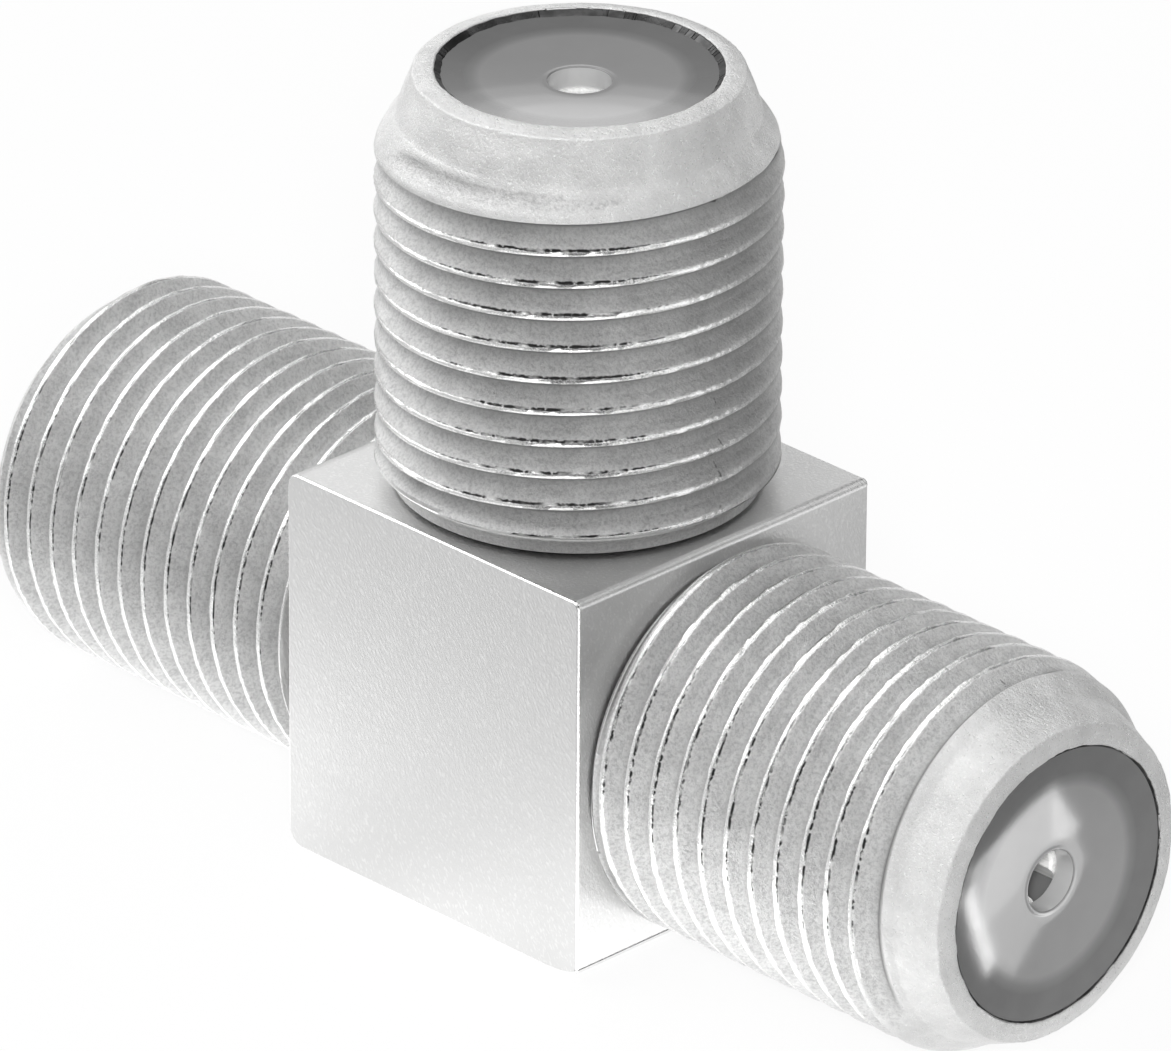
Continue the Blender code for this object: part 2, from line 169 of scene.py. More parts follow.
class TeeFinish(bpy.types.PropertyGroup):
    nickel: colour("Nickel", "Colour of the plated casting", (0.93, 0.93, 0.925))
    nickel_shade: colour("Nickel shade", "Colour of the duller spots of the plating", (0.58, 0.58, 0.58))
    # Painted shade: the darker colour laid into the thread's roots, on the neck and on the mouth's wall
    root_shadow_colour: colour("Nickel root", "Colour of the plating in the thread's roots", (0.31, 0.31, 0.31))
    # Worn crests, partly a painted highlight; also the painted highlight on the face chamfers
    nickel_worn_highlight: colour("Nickel crest", "Colour of the worn crests", (0.96, 0.96, 0.955))
    # Painted shade and dark reflection along the burr's edge, and painted shade on the mouth's wall; also the
    # seam's dark crack
    burr_shadow: colour("Burr shade", "Colour of the ragged dark line under the burr", (0.05, 0.05, 0.05))
    dielectric: colour("Insulator", "Colour of the dished insulators", (0.075, 0.075, 0.075))
    # Painted light: the colour laid on the insulators' thin middle and on the pin hole's wall
    dielectric_lit: colour(
        "Insulator, pale", "Colour of the insulators where they are thin", (0.40, 0.40, 0.40)
    )
    sleeve: colour("Sleeve", "Colour of the sleeves inside", (0.78, 0.78, 0.75))
    spring: colour("Contact", "Colour of the spring contacts", (0.95, 0.95, 0.94))


class TeeStudio(bpy.types.PropertyGroup):
    azimuth: angle_of("Azimuth", "Camera's turn round the tee", 45.318)
    elevation: angle_of("Elevation", "Camera's height over the tee", 26.062)
    roll: angle_of("Roll", "Camera's tilt", 0.329)
    distance: length("Distance", "Camera's distance from the crossing of the ports", 306.91)
    aim_right: length("Aim right", "How far the camera is moved to its right", 0.206)
    aim_up: length("Aim up", "How far the camera is moved upwards", 3.178)
    lens: FloatProperty(name="Lens", description="Focal length in millimetres", default=406.08)
    ambient: FloatProperty(name="Ambient", description="Level of the soft light from all sides", default=0.5)
    backdrop: colour("Backdrop", "Colour of the background", (1.0, 1.0, 1.0))
    floor: colour("Floor", "Colour of the floor", (0.86, 0.86, 0.86))


# Shared steps


def only(obj):
    """Selects this object alone and makes it active."""
    if bpy.context.mode != "OBJECT":
        bpy.ops.object.mode_set(mode="OBJECT")
    bpy.ops.object.select_all(action="DESELECT")
    obj.select_set(True)
    bpy.context.view_layer.objects.active = obj


def start_piece(name):
    """Names the primitive that was just added."""
    obj = bpy.context.object
    obj.name = name
    obj.data.name = name
    only(obj)
    return obj


def place_mesh(obj, matrix):
    """Moves the mesh and leaves the object at the origin."""
    obj.data.transform(matrix @ obj.matrix_world)
    obj.matrix_world = Matrix.Identity(4)


def apply_modifier(obj, kind, **settings):
    """Adds a modifier to the piece and applies it."""
    only(obj)
    bpy.ops.object.modifier_add(type=kind)
    modifier = obj.modifiers[-1]
    for key, value in settings.items():
        setattr(modifier, key, value)
    bpy.ops.object.modifier_apply(modifier=modifier.name)


def combine(obj, other, operation):
    """Boolean of two closed pieces. The second one is used up."""
    apply_modifier(obj, "BOOLEAN", operation=operation, solver="MANIFOLD", object=other)
    bpy.data.objects.remove(other, do_unlink=True)


def select_boundary(obj, height):
    """Selects the open ring of edges that lies at this height."""
    mesh = bmesh.from_edit_mesh(obj.data)
    for item in (*mesh.faces, *mesh.edges, *mesh.verts):
        item.select = False
    for edge in mesh.edges:
        level = all(abs(vertex.co.z - height) < PLACE_TOLERANCE for vertex in edge.verts)
        if edge.is_boundary and level:
            edge.select = True
    mesh.select_flush(True)
    bmesh.update_edit_mesh(obj.data)


def grow_ring(radius, height, points):
    """Extrudes the selected ring through (radius, height) points."""
    for next_radius, next_height in points:
        bpy.ops.mesh.extrude_region_move(TRANSFORM_OT_translate={"value": (0, 0, next_height - height)})
        ratio = next_radius / radius
        if abs(ratio - 1) > JOIN_DISTANCE:
            bpy.ops.transform.resize(value=(ratio, ratio, 1), center_override=(0, 0, next_height))
        radius, height = next_radius, next_height


def chain(name, points):
    """A line of edges through (x, z) points, drawn by extruding one vertex."""
    bpy.ops.object.select_all(action="DESELECT")
    bpy.ops.mesh.primitive_plane_add(size=MM)
    obj = start_piece(name)
    bpy.ops.object.mode_set(mode="EDIT")
    bpy.ops.mesh.select_mode(type="VERT")
    bpy.ops.mesh.select_all(action="SELECT")
    bpy.ops.mesh.merge(type="CENTER")
    bpy.ops.transform.translate(value=(points[0][0], 0, points[0][1]))
    for before, after in zip(points, points[1:]):
        step = (after[0] - before[0], 0, after[1] - before[1])
        bpy.ops.mesh.extrude_vertices_move(TRANSFORM_OT_translate={"value": step})
    bpy.ops.object.mode_set(mode="OBJECT")
    return obj


def coordinates(obj):
    """The places of the mesh's vertices, one row each."""
    points = np.empty(len(obj.data.vertices) * 3)
    obj.data.vertices.foreach_get("co", points)
    return points.reshape(-1, 3)


def set_coordinates(obj, points):
    """Moves the mesh's vertices to these places."""
    obj.data.vertices.foreach_set("co", points.reshape(-1))
    obj.data.update()


def weld(obj):
    """Merges doubled vertices and drops the faces that this leaves without an area."""
    only(obj)
    bpy.ops.object.mode_set(mode="EDIT")
    bpy.ops.mesh.select_all(action="SELECT")
    bpy.ops.mesh.remove_doubles(threshold=JOIN_DISTANCE)
    bpy.ops.mesh.dissolve_degenerate(threshold=JOIN_DISTANCE)
    bpy.ops.object.mode_set(mode="OBJECT")


# Where the thread lies


def smoothstep(value):
    """0 up to 0, 1 from 1 on, and a soft rise between them."""
    value = np.clip(value, 0, 1)
    return value * value * (3 - 2 * value)


RANDOM_VALUES = 4096


def ragged(position, seed):
    """Smooth random values from 0 to 1 along a line, one new value for each whole step."""
    values = np.random.RandomState(seed).rand(RANDOM_VALUES)
    cell = np.floor(position).astype(int)
    part = smoothstep(position - cell)
    return values[cell % RANDOM_VALUES] * (1 - part) + values[(cell + 1) % RANDOM_VALUES] * part


def near_angle(angle, middle, width):
    """1 at the middle angle and falling to 0 at the width, all in degrees."""
    away = np.abs((angle - middle + 180) % 360 - 180)
    return 1 - smoothstep(away / width)


def near_either(angle, middle, width):
    """The same for the middle angle and the one across from it."""
    return np.maximum(near_angle(angle, middle, width), near_angle(angle, middle + 180, width))


# One turn of the thread from crest to crest: its rows as parts of the pitch, and the part of the depth on
# each row for a port with its burr on the far or the near edge of the crest. None stands for the crest's
# worn edges.
THREAD_ROWS = (0.0, 0.09, 0.13, 0.195, 0.36, 0.43, 0.66, 0.745, 0.925, 0.965, 1.0)
THREAD_DEPTHS = {
    1: (0.0, 0.0, None, 0.22, 0.62, 0.74, 1.0, 1.0, 0.32, None, 0.0),
    -1: (0.0, 0.0, None, 0.28, 0.88, 1.0, 1.0, 0.86, 0.22, None, 0.0),
}
CREST_END = 0.13
BURR_AT = 0.09
TURN_TOLERANCE = 1e-6

# The ragged burr: how many random values it has in a turn, how many turns they are counted from below the
# first crest, and how far it reaches from the edge of the crest as a part of the pitch
BURR_CELLS = 190
TURNS_BELOW = 40
BURR_REACH = 0.06
# Up to how many degrees from their middle the reliefs, where the mould halves pull clear, and the seam reach
RELIEF_REACH = 34
SEAM_REACH = 1.6
CREST_UNEVENNESS = 0.026 * MM


def thread_fall(part, thread, depth, burr_side):
    """Depth below the crest at a part of the pitch."""
    edge = thread.edge_drop / thread.depth
    shares = [edge if share_down is None else share_down for share_down in THREAD_DEPTHS[burr_side]]
    return np.interp(part, THREAD_ROWS, shares) * depth


def thread_phase(s, angle, start, pitch):
    """Number of the turn and part of the pitch at a height and angle."""
    total = (s - start) / pitch - angle / math.tau
    turn = np.floor(total + TURN_TOLERANCE)
    return turn, np.clip(total - turn, 0, 1)


def burr_part(part, burr_side):
    """Part of the pitch counted so that the burr's edge of the crest is always the far one."""
    return part if burr_side > 0 else (BURR_AT - part) % 1


def nose_envelope(s, port, crease, shoulder):
    """Radius of the rounded shoulder, which cuts the last turns of the thread."""
    part = np.clip((s - crease + shoulder) / shoulder, 0, 1)
    return port.crest_radius - (port.crest_radius - port.crease_radius) * part**port.shoulder_power


def thread_radius(s, angle, place, limits, weight):
    """Radius of the threaded surface at a height and at an angle in radians."""
    port = bpy.context.scene.tee_port
    thread = bpy.context.scene.tee_thread
    low, high = limits
    turn, part = thread_phase(s, angle, thread_start(place), thread.pitch)
    along = (turn + TURNS_BELOW + angle / math.tau) * BURR_CELLS
    degrees = np.degrees(angle)
    relief = near_either(degrees, place.relief, RELIEF_REACH)
    depth = thread.depth + (thread.least_depth - thread.depth) * relief
    fade = smoothstep((s - low) / thread.run_out)
    fall = thread_fall(part, thread, depth, place.burr_side)
    rough = ragged(along, place.seed)
    coarse = ragged(along * 0.14, place.seed + 1)
    sided = burr_part(part, place.burr_side)
    at_edge = 1 - np.clip(np.abs(sided - BURR_AT) / BURR_REACH, 0, 1)
    at_other_edge = 1 - np.clip(np.minimum(sided, 1 - sided) / BURR_REACH, 0, 1)
    burr = thread.burr * at_edge * (rough * (0.4 + 0.9 * coarse) * weight - 0.5)
    worn = thread.burr * at_other_edge * (0.5 * ragged(along * 0.7, place.seed + 2) - 0.4)
    uneven = CREST_UNEVENNESS * (ragged(along * 0.5, place.seed + 3) - 0.5) * (part < CREST_END)
    at_seam = near_either(degrees, place.seam, SEAM_REACH)
    in_root = np.clip(fall / thread.depth, 0, 1)
    seam = thread.seam * at_seam * in_root * (0.5 + ragged(along * 3, place.seed + 4))
    surface = port.crest_radius + (burr + worn + uneven + seam - fall) * fade
    return np.minimum(surface, nose_envelope(s, port, high, place.shoulder))


MOULD_BLEND = 0.05


def front_side(angle, turn):
    """1 on the half of a port that faces the front of the mould, 0 on the other half."""
    outwards = np.stack([np.cos(angle), np.sin(angle), np.zeros_like(angle)], axis=-1)
    y = outwards @ np.array(turn.to_3x3())[1]
    return smoothstep((MOULD_BLEND - y) / (2 * MOULD_BLEND))


def thread_start(place):
    """Height at which a crest begins at the angle 0."""
    return place.crest_at - bpy.context.scene.tee_thread.pitch * place.crest_angle / 360


NECK_SOFTENING = 0.10 * MM
PORT_FOOT = 0.6 * MM


def threaded_port(name, place):
    """A solid port: neck, helical thread, shoulder, cone, rim and mouth, standing on the crossing."""
    scene = bpy.context.scene
    port = scene.tee_port
    thread = scene.tee_thread
    rim, face, cone = place.rim, place.face, place.cone
    low = face + place.neck
    high = rim - cone
    start = thread_start(place)
    first = math.floor((low - start) / thread.pitch) - 2
    last = math.ceil((high - start) / thread.pitch) + 1
    rows = THREAD_ROWS[:-1]
    heights = [start + thread.pitch * (number + part) for number in range(first, last) for part in rows]
    obj = chain(name, [(port.crest_radius, height) for height in heights])
    apply_modifier(
        obj,
        "SCREW",
        angle=math.tau,
        screw_offset=thread.pitch,
        steps=port.columns,
        render_steps=port.columns,
        use_merge_vertices=False,
        use_smooth_shade=True,
    )
    weld(obj)
    points = coordinates(obj)
    angle = np.arctan2(points[:, 1], points[:, 0]) % math.tau
    s = np.clip(points[:, 2], low, high)
    weight = front_side(angle, place.turn)
    radius = thread_radius(s, angle, place, (low, high), weight)
    points = np.stack([radius * np.cos(angle), radius * np.sin(angle), s], axis=-1)
    set_coordinates(obj, points)
    weld(obj)
    bpy.ops.object.mode_set(mode="EDIT")
    bpy.ops.mesh.select_mode(type="EDGE")
    select_boundary(obj, high)
    grow_ring(port.crease_radius, high, nose_points(port, rim, cone))
    bpy.ops.mesh.merge(type="CENTER")
    select_boundary(obj, low)
    neck = [
        (port.crest_radius - NECK_SOFTENING, low - 0.08 * place.neck),
        (port.neck_radius + NECK_SOFTENING, low - 0.36 * place.neck),
        (port.neck_radius, low - 0.60 * place.neck),
        (port.neck_radius, low - 0.85 * place.neck),
        (port.neck_radius, face - PORT_FOOT),
    ]
    grow_ring(port.crest_radius, low, neck)
    bpy.ops.mesh.merge(type="CENTER")
    bpy.ops.mesh.select_all(action="SELECT")
    bpy.ops.mesh.normals_make_consistent(inside=False)
    bpy.ops.object.mode_set(mode="OBJECT")
    roughen_mouth(obj, port, rim, place.seed)
    return obj


# The uneven mouth and rim: long and short waves in a turn, and how far they move the edges of both
LONG_WAVES = 34
SHORT_WAVES = 150
MOUTH_WAVE = 0.045 * MM
RIM_WAVE = 0.03 * MM


def roughen_mouth(obj, port, rim, seed):
    """Makes the mouth's edge and the rim's outer edge uneven, as rolled by hand."""
    points = coordinates(obj)
    radius = np.hypot(points[:, 0], points[:, 1])
    angle = np.arctan2(points[:, 1], points[:, 0]) % math.tau
    long_wave = ragged(angle / math.tau * LONG_WAVES, seed + 7) - 0.5
    wave = long_wave + 0.6 * (ragged(angle / math.tau * SHORT_WAVES, seed + 8) - 0.5)
    at_top = points[:, 2] > rim - 0.6 * port.rim_drop
    at_mouth = at_top & (radius < port.mouth_radius + 0.1 * MM) & (radius > port.mouth_radius - 0.01 * MM)
    by_edge = np.abs(points[:, 2] - rim + port.rim_drop) < 0.09 * MM
    at_corner = by_edge & (radius > port.rim_radius - 0.1 * MM)
    growth = 1 + (at_mouth * MOUTH_WAVE * wave + at_corner * RIM_WAVE * wave) / np.maximum(radius, MM)
    points[:, 0] *= growth
    points[:, 1] *= growth
    set_coordinates(obj, points)


RIM_CORNER = 0.07 * MM
RIM_CORNER_STEPS = 3
CONE_STEPS = 7


def nose_points(port, rim, cone):
    """Cone, rim and mouth of a port as (radius, height) points, from the crease to the mouth's floor."""
    crease = rim - cone
    corner = RIM_CORNER
    edge = rim - port.rim_drop
    points = []
    for index in range(1, CONE_STEPS + 1):
        part = index / CONE_STEPS
        swell = port.cone_swell * math.sin(math.pi * part)
        radius = port.crease_radius + (port.rim_radius - port.crease_radius) * part + swell
        points.append((radius, crease + (edge - corner - crease) * part))
    for index in range(1, RIM_CORNER_STEPS + 1):
        swing = math.pi / 2 * index / RIM_CORNER_STEPS
        radius = port.rim_radius - corner * (1 - math.cos(swing))
        points.append((radius, edge - corner * (1 - math.sin(swing))))
    points.append((port.mouth_radius + 0.25 * MM, rim - port.rim_drop * 0.28))
    points.append((port.mouth_radius + 0.05 * MM, rim))
    points.append((port.mouth_radius + 0.015 * MM, rim - 0.012 * MM))
    points.append((port.mouth_radius, rim - 0.04 * MM))
    points.append((port.mouth_radius, rim - port.mouth_depth))
    return points


# Where a port lies and how it is finished. Angles are in degrees round the port's own axis, the burr's shadow
# angle is where the painted shade along the burr is strongest, and the crack is the stretch of the parting
# seam that shows as a dark line.
PortPlace = namedtuple(
    "PortPlace",
    "turn rim face cone shoulder neck crest_at crest_angle relief seam burr_angle burr_side recess crack seed",
)


def ports():
    """The three ports, each with its heights counted from the crossing of the axes."""
    scene = bpy.context.scene
    port = scene.tee_port
    block = scene.tee_block
    side = block.length_x / 2
    top = block.height_z / 2
    right_rim = side + port.right_length
    right = (port.cone_length, port.shoulder_length, port.right_neck_length)
    left = (port.left_cone_length, port.left_shoulder_length, port.left_neck_length)
    branch = (port.cone_length, port.shoulder_length, port.neck_length)
    right_crack = (right_rim - port.cone_length - 0.9 * MM, right_rim - port.cone_length + 0.15 * MM)
    return {
        "right": PortPlace(
            TO_RIGHT, right_rim, side, *right,
            crest_at=6.20 * MM, crest_angle=230, relief=146, seam=180, burr_angle=250, burr_side=1,
            recess=0.05 * MM, crack=right_crack, seed=11,
        ),
        "left": PortPlace(
            TO_LEFT, side + port.left_length, side, *left,
            crest_at=5.89 * MM, crest_angle=-50, relief=34, seam=0, burr_angle=290, burr_side=-1,
            recess=0.05 * MM, crack=(0, 0), seed=23,
        ),
        "branch": PortPlace(
            TO_TOP, top + port.branch_length, top, *branch,
            crest_at=5.43 * MM, crest_angle=315, relief=46, seam=0, burr_angle=306, burr_side=1,
            recess=0.13 * MM, crack=(top, top + 4 * MM), seed=37,
        ),
    }


def crossing():
    """Where the axes of the ports meet."""
    scene = bpy.context.scene
    port = scene.tee_port
    return Vector(((port.left_length - port.right_length) / 2, 0, scene.tee_block.height_z / 2))


BLOCK_CORNER_STEPS = 8


def corner_points(side, level, across, up):
    """A rounded corner of the block's outline: a quarter of an ellipse from its side to its top or foot."""
    block = bpy.context.scene.tee_block
    middle_x = side * (block.length_x / 2 - across)
    middle_z = level * (block.height_z / 2 - up)
    points = []
    for index in range(BLOCK_CORNER_STEPS + 1):
        swing = math.pi / 2 * index / BLOCK_CORNER_STEPS
        points.append((middle_x + side * across * math.cos(swing), middle_z + level * up * math.sin(swing)))
    return points


def rounded_block():
    """The block: its outline filled, extruded along its depth and bevelled round both faces."""
    block = bpy.context.scene.tee_block
    outline = corner_points(1, 1, block.top_right_round, block.top_right_round)
    outline += corner_points(-1, 1, block.top_left_round, block.top_left_round)[::-1]
    outline += corner_points(-1, -1, block.foot_left_round, block.foot_left_round)
    outline += corner_points(1, -1, block.foot_right_across, block.foot_right_up)[::-1]
    obj = chain("casting_plated", outline + outline[:1])
    bpy.ops.object.mode_set(mode="EDIT")
    bpy.ops.mesh.select_all(action="SELECT")
    bpy.ops.mesh.remove_doubles(threshold=JOIN_DISTANCE)
    bpy.ops.mesh.edge_face_add()
    bpy.ops.transform.translate(value=(0, -block.depth_y / 2, 0))
    bpy.ops.mesh.extrude_region_move(TRANSFORM_OT_translate={"value": (0, block.depth_y, 0)})
    bpy.ops.mesh.select_all(action="SELECT")
    bpy.ops.mesh.normals_make_consistent(inside=False)
    bpy.ops.mesh.select_mode(type="EDGE")
    mesh = bmesh.from_edit_mesh(obj.data)
    half_depth = block.depth_y / 2
    for edge in mesh.edges:
        edge.select = all(abs(abs(vertex.co.y) - half_depth) < PLACE_TOLERANCE for vertex in edge.verts)
    bmesh.update_edit_mesh(obj.data)
    bpy.ops.mesh.bevel(offset=block.face_chamfer, segments=3, affect="EDGES")
    bpy.ops.object.mode_set(mode="OBJECT")
    return obj


BORE_SIDES = 96


def bore(name, radius, low, high, turn):
    """A rod that cuts a bore along a port's axis."""
    bpy.ops.object.select_all(action="DESELECT")
    middle = (0, 0, (low + high) / 2)
    bpy.ops.mesh.primitive_cylinder_add(vertices=BORE_SIDES, radius=radius, depth=high - low, location=middle)
    obj = start_piece(name)
    place_mesh(obj, turn)
    return obj


# Per row of the thread, for a port with its burr on the far or the near edge of the crest: the crest's worn
# metal with a painted highlight, the painted shade in the root, and the painted shade along the burr's edge. A
# root shade over 1 is painted as a dark line.
CREST_WEAR_AND_HIGHLIGHT = [1, 1, 0.7, 0, 0, 0, 0, 0, 0, 0.4, 1]
ROOT_SHADE = {
    1: [0, 0, 0, 0, 0, 0.05, 0.5, 1.15, 0.85, 0.1, 0],
    -1: [0, 0, 0, 0.15, 0.5, 0.55, 0.3, 0.05, 0, 0, 0],
}
BURR_SHADOW_ROWS = {
    1: [0, 0.2, 1, 0.25, 0, 0, 0, 0, 0, 0, 0],
    -1: [0.2, 0, 0, 0, 0, 0, 0, 0, 0, 1, 0.2],
}
# Values that tell the surfaces apart. The block's is 0.
THREAD, NOSE = 0.5, 1.0
# Darkest painted shade along the burr's edge, and painted shade on the neck, of the top port and of the ports
# in line
BURR_SHADOW_STRENGTH = {"branch": 0.95, "right": 0.72, "left": 0.72}
NECK_SHADE = {"branch": 0.5, "right": 0.15, "left": 0.15}
# Painted shade on the mouth's wall, over 1 so that it is painted as a dark line
MOUTH_SHADE = 1.4
RIM_SHINE = 0.12
CRACK_DARKNESS = 0.42
ROOT_FADE = 0.12 * MM
# The top port's side in painted shade: its middle and reach in degrees, how much painted shade it adds to the
# roots and how much it dims the crests' painted highlight
SHADED_SIDE = (22, 55)
SHADED_SIDE_ROOT = 0.6
SHADED_SIDE_CREST = 0.75


def mark_zones(casting, made):
    """Writes shares on the mesh for its material to read: worn crests and face chamfers with a painted
    highlight, painted shade in the roots, on the neck and on the mouth's wall, the kind of surface, and
    painted shade along the burr's edge with the seam's crack.
    """
    port = bpy.context.scene.tee_port
    thread = bpy.context.scene.tee_thread
    block = bpy.context.scene.tee_block
    points = coordinates(casting)
    zones = np.zeros((len(points), 4))
    # Painted highlight: the middle of the face chamfers gets the full crest share, which paints it bright
    chamfer_middle = (block.depth_y - block.face_chamfer) / 2
    in_chamfer = np.abs(np.abs(points[:, 1]) - chamfer_middle) < block.face_chamfer * 0.45
    in_length = np.abs(points[:, 0]) < block.length_x / 2 + PLACE_TOLERANCE
    in_height = points[:, 2] < block.height_z / 2 + PLACE_TOLERANCE
    zones[:, 0] = np.where(in_chamfer & in_length & in_height, 1, 0)
    for name, place in made.items():
        local = points @ np.array(place.turn.to_3x3())
        radius = np.hypot(local[:, 0], local[:, 1])
        angle = np.arctan2(local[:, 1], local[:, 0]) % math.tau
        degrees = np.degrees(angle)
        s = local[:, 2]
        low = place.face + place.neck
        high = place.rim - place.cone
        outside = radius > port.neck_radius - 0.1 * MM
        part = thread_phase(s, angle, thread_start(place), thread.pitch)[1]
        envelope = nose_envelope(s, port, high, place.shoulder)
        on_thread = outside & (s > low + JOIN_DISTANCE) & (s < high - JOIN_DISTANCE)
        cut_by_nose = radius > envelope - 0.01 * MM
        threaded = on_thread & ~(cut_by_nose & (s > high - place.shoulder))
        # Painted shade and dark reflection along the burr's edge, strongest round the burr's shadow angle
        strength = (0.33 + 0.67 * near_angle(degrees, place.burr_angle, 50)) * BURR_SHADOW_STRENGTH[name]
        burr = np.interp(part, THREAD_ROWS, BURR_SHADOW_ROWS[place.burr_side]) * strength
        cracked = near_angle(degrees, place.seam, 1.5) * (s > place.crack[0]) * (s < place.crack[1])
        # Painted shade in the roots, fading out towards the crests' radius
        below_crest = np.clip((envelope - radius) / ROOT_FADE, 0, 1)
        root_shade = np.interp(part, THREAD_ROWS, ROOT_SHADE[place.burr_side]) * below_crest
        shine = np.interp(part, THREAD_ROWS, CREST_WEAR_AND_HIGHLIGHT)
        # Painted shade on one side of the top port: more in the roots, and less painted highlight on the
        # crests
        if name == "branch":
            shaded_side = near_angle(degrees, *SHADED_SIDE)
            root_shade += SHADED_SIDE_ROOT * shaded_side
            shine *= 1 - SHADED_SIDE_CREST * shaded_side
        zones[:, 0] = np.where(threaded, shine, zones[:, 0])
        zones[:, 1] = np.where(threaded, root_shade, zones[:, 1])
        zones[:, 2] = np.where(threaded, THREAD, zones[:, 2])
        on_nose = (s >= high - JOIN_DISTANCE) & (radius > port.mouth_radius + 0.002 * MM)
        zones[:, 2] = np.where(on_nose | (on_thread & ~threaded), NOSE, zones[:, 2])
        zones[:, 3] = np.where(threaded, burr, zones[:, 3])
        with_crack = np.maximum(zones[:, 3], CRACK_DARKNESS * cracked)
        zones[:, 3] = np.where(on_thread | on_nose, with_crack, zones[:, 3])
        # Painted shade on the mouth's wall behind the rim
        behind_rim = (s > place.rim - 3 * MM) & (s < place.rim - 0.03 * MM)
        shaded_mouth = behind_rim & (radius < port.mouth_radius + 0.06 * MM)
        on_rim = (s > place.rim - port.rim_drop * 1.05) & (radius < port.rim_radius + 0.1 * MM) & ~shaded_mouth
        zones[:, 0] = np.where(on_rim, RIM_SHINE, zones[:, 0])
        # Painted shade on the plain neck next to the block
        on_neck = outside & (s > place.face + 0.01 * MM) & (s <= low - 0.1 * MM) & (radius < port.crest_radius)
        zones[:, 1] = np.where(on_neck, NECK_SHADE[name], zones[:, 1])
        zones[:, 2] = np.where(on_neck, THREAD, zones[:, 2])
        zones[:, 1] = np.where(shaded_mouth, MOUTH_SHADE, zones[:, 1])
    attribute = casting.data.attributes.new("zone", "FLOAT_COLOR", "POINT")
    attribute.data.foreach_set("color", zones.reshape(-1))


BORE_OVERLAP = 1 * MM
CASTING_SMOOTH = math.radians(50)


class MESH_OT_tee_casting(bpy.types.Operator):
    """Models the plated casting: block, threaded ports and bores"""

    bl_idname = "mesh.tee_casting"
    bl_label = "Casting"

    def execute(self, context):
        scene = context.scene
        port = scene.tee_port
        casting = rounded_block()
        made = ports()
        for name, place in made.items():
            piece = threaded_port("port_" + name, place)
            place_mesh(piece, place.turn)
            combine(casting, piece, "UNION")
        ends = {name: place.rim - port.mouth_depth + BORE_OVERLAP for name, place in made.items()}
        through = bore("bore_through", port.through_bore_radius, -ends["left"], ends["right"], TO_RIGHT)
        combine(casting, through, "DIFFERENCE")
        branch = bore("bore_branch", port.branch_bore_radius, 0, ends["branch"], TO_TOP)
        combine(casting, branch, "DIFFERENCE")
        mark_zones(casting, made)
        place_mesh(casting, Matrix.Translation(crossing()))
        only(casting)
        bpy.ops.object.shade_smooth_by_angle(angle=CASTING_SMOOTH)
        apply_modifier(casting, "WEIGHTED_NORMAL", keep_sharp=True, weight=80)
        casting.data.materials.clear()
        casting.data.materials.append(nickel_material())
        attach(casting, BODY)
        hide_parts("body_casting")
        return {"FINISHED"}


# Depth of the gap round a disc, drop of its edge, steps across its dish, lip and hole edge, and its facets
GAP_DEPTH = 0.5 * MM
EDGE_DROP = 0.008 * MM
DISH_STEPS = 12
LIP_STEPS = 8
HOLE_EDGE_STEPS = 5
DISC_SIDES = 128
DISC_SMOOTH = 40


def dish_points(sizes):
    """The disc's face, hole and back as (radius, height) points, from its edge round to its edge."""
    points = [
        (sizes.outer_radius, -GAP_DEPTH),
        (sizes.edge_radius, -GAP_DEPTH),
        (sizes.edge_radius, -EDGE_DROP),
    ]
    lip_foot = sizes.lip_radius
    for index in range(DISH_STEPS + 1):
        radius = sizes.dish_radius + (lip_foot - sizes.dish_radius) * index / DISH_STEPS
        points.append((radius, -sizes.dish_depth * (1 - (radius / sizes.dish_radius) ** 2)))
    foot_height = points[-1][1]
    top_radius = sizes.hole_radius + sizes.hole_edge
    for index in range(1, LIP_STEPS + 1):
        part = index / LIP_STEPS
        radius = lip_foot + (top_radius - lip_foot) * part
        points.append((radius, foot_height + sizes.lip_height * part * part * (3 - 2 * part)))
    lip_top = points[-1][1]
    for index in range(1, HOLE_EDGE_STEPS + 1):
        swing = math.pi / 2 * index / HOLE_EDGE_STEPS
        radius = top_radius - sizes.hole_edge * math.sin(swing)
        points.append((radius, lip_top - sizes.hole_edge * (1 - math.cos(swing))))
    points.append((sizes.hole_radius, lip_top - sizes.hole_length))
    points.append((sizes.pocket_radius, lip_top - sizes.hole_length))
    points.append((sizes.pocket_radius, -sizes.thickness))
    points.append((sizes.outer_radius, -sizes.thickness))
    return points


def turned_piece(name, outline, turn, steps, smooth_degrees):
    """A closed outline of (radius, height) points spun round a port's axis."""
    obj = chain(name, outline)
    bpy.ops.object.mode_set(mode="EDIT")
    bpy.ops.mesh.select_all(action="SELECT")
    bpy.ops.mesh.spin(steps=steps, angle=math.tau, center=(0, 0, 0), axis=(0, 0, 1))
    bpy.ops.mesh.select_all(action="SELECT")
    bpy.ops.mesh.remove_doubles(threshold=JOIN_DISTANCE)
    bpy.ops.mesh.normals_make_consistent(inside=False)
    bpy.ops.object.mode_set(mode="OBJECT")
    place_mesh(obj, turn)
    only(obj)
    bpy.ops.object.shade_smooth_by_angle(angle=math.radians(smooth_degrees))
    return obj


# Painted light on the insulators: how much paler the thin middle is painted, and over how far it fades out
THIN_PAINTED_LIGHT = 0.28
THIN_FADE = 0.3 * MM


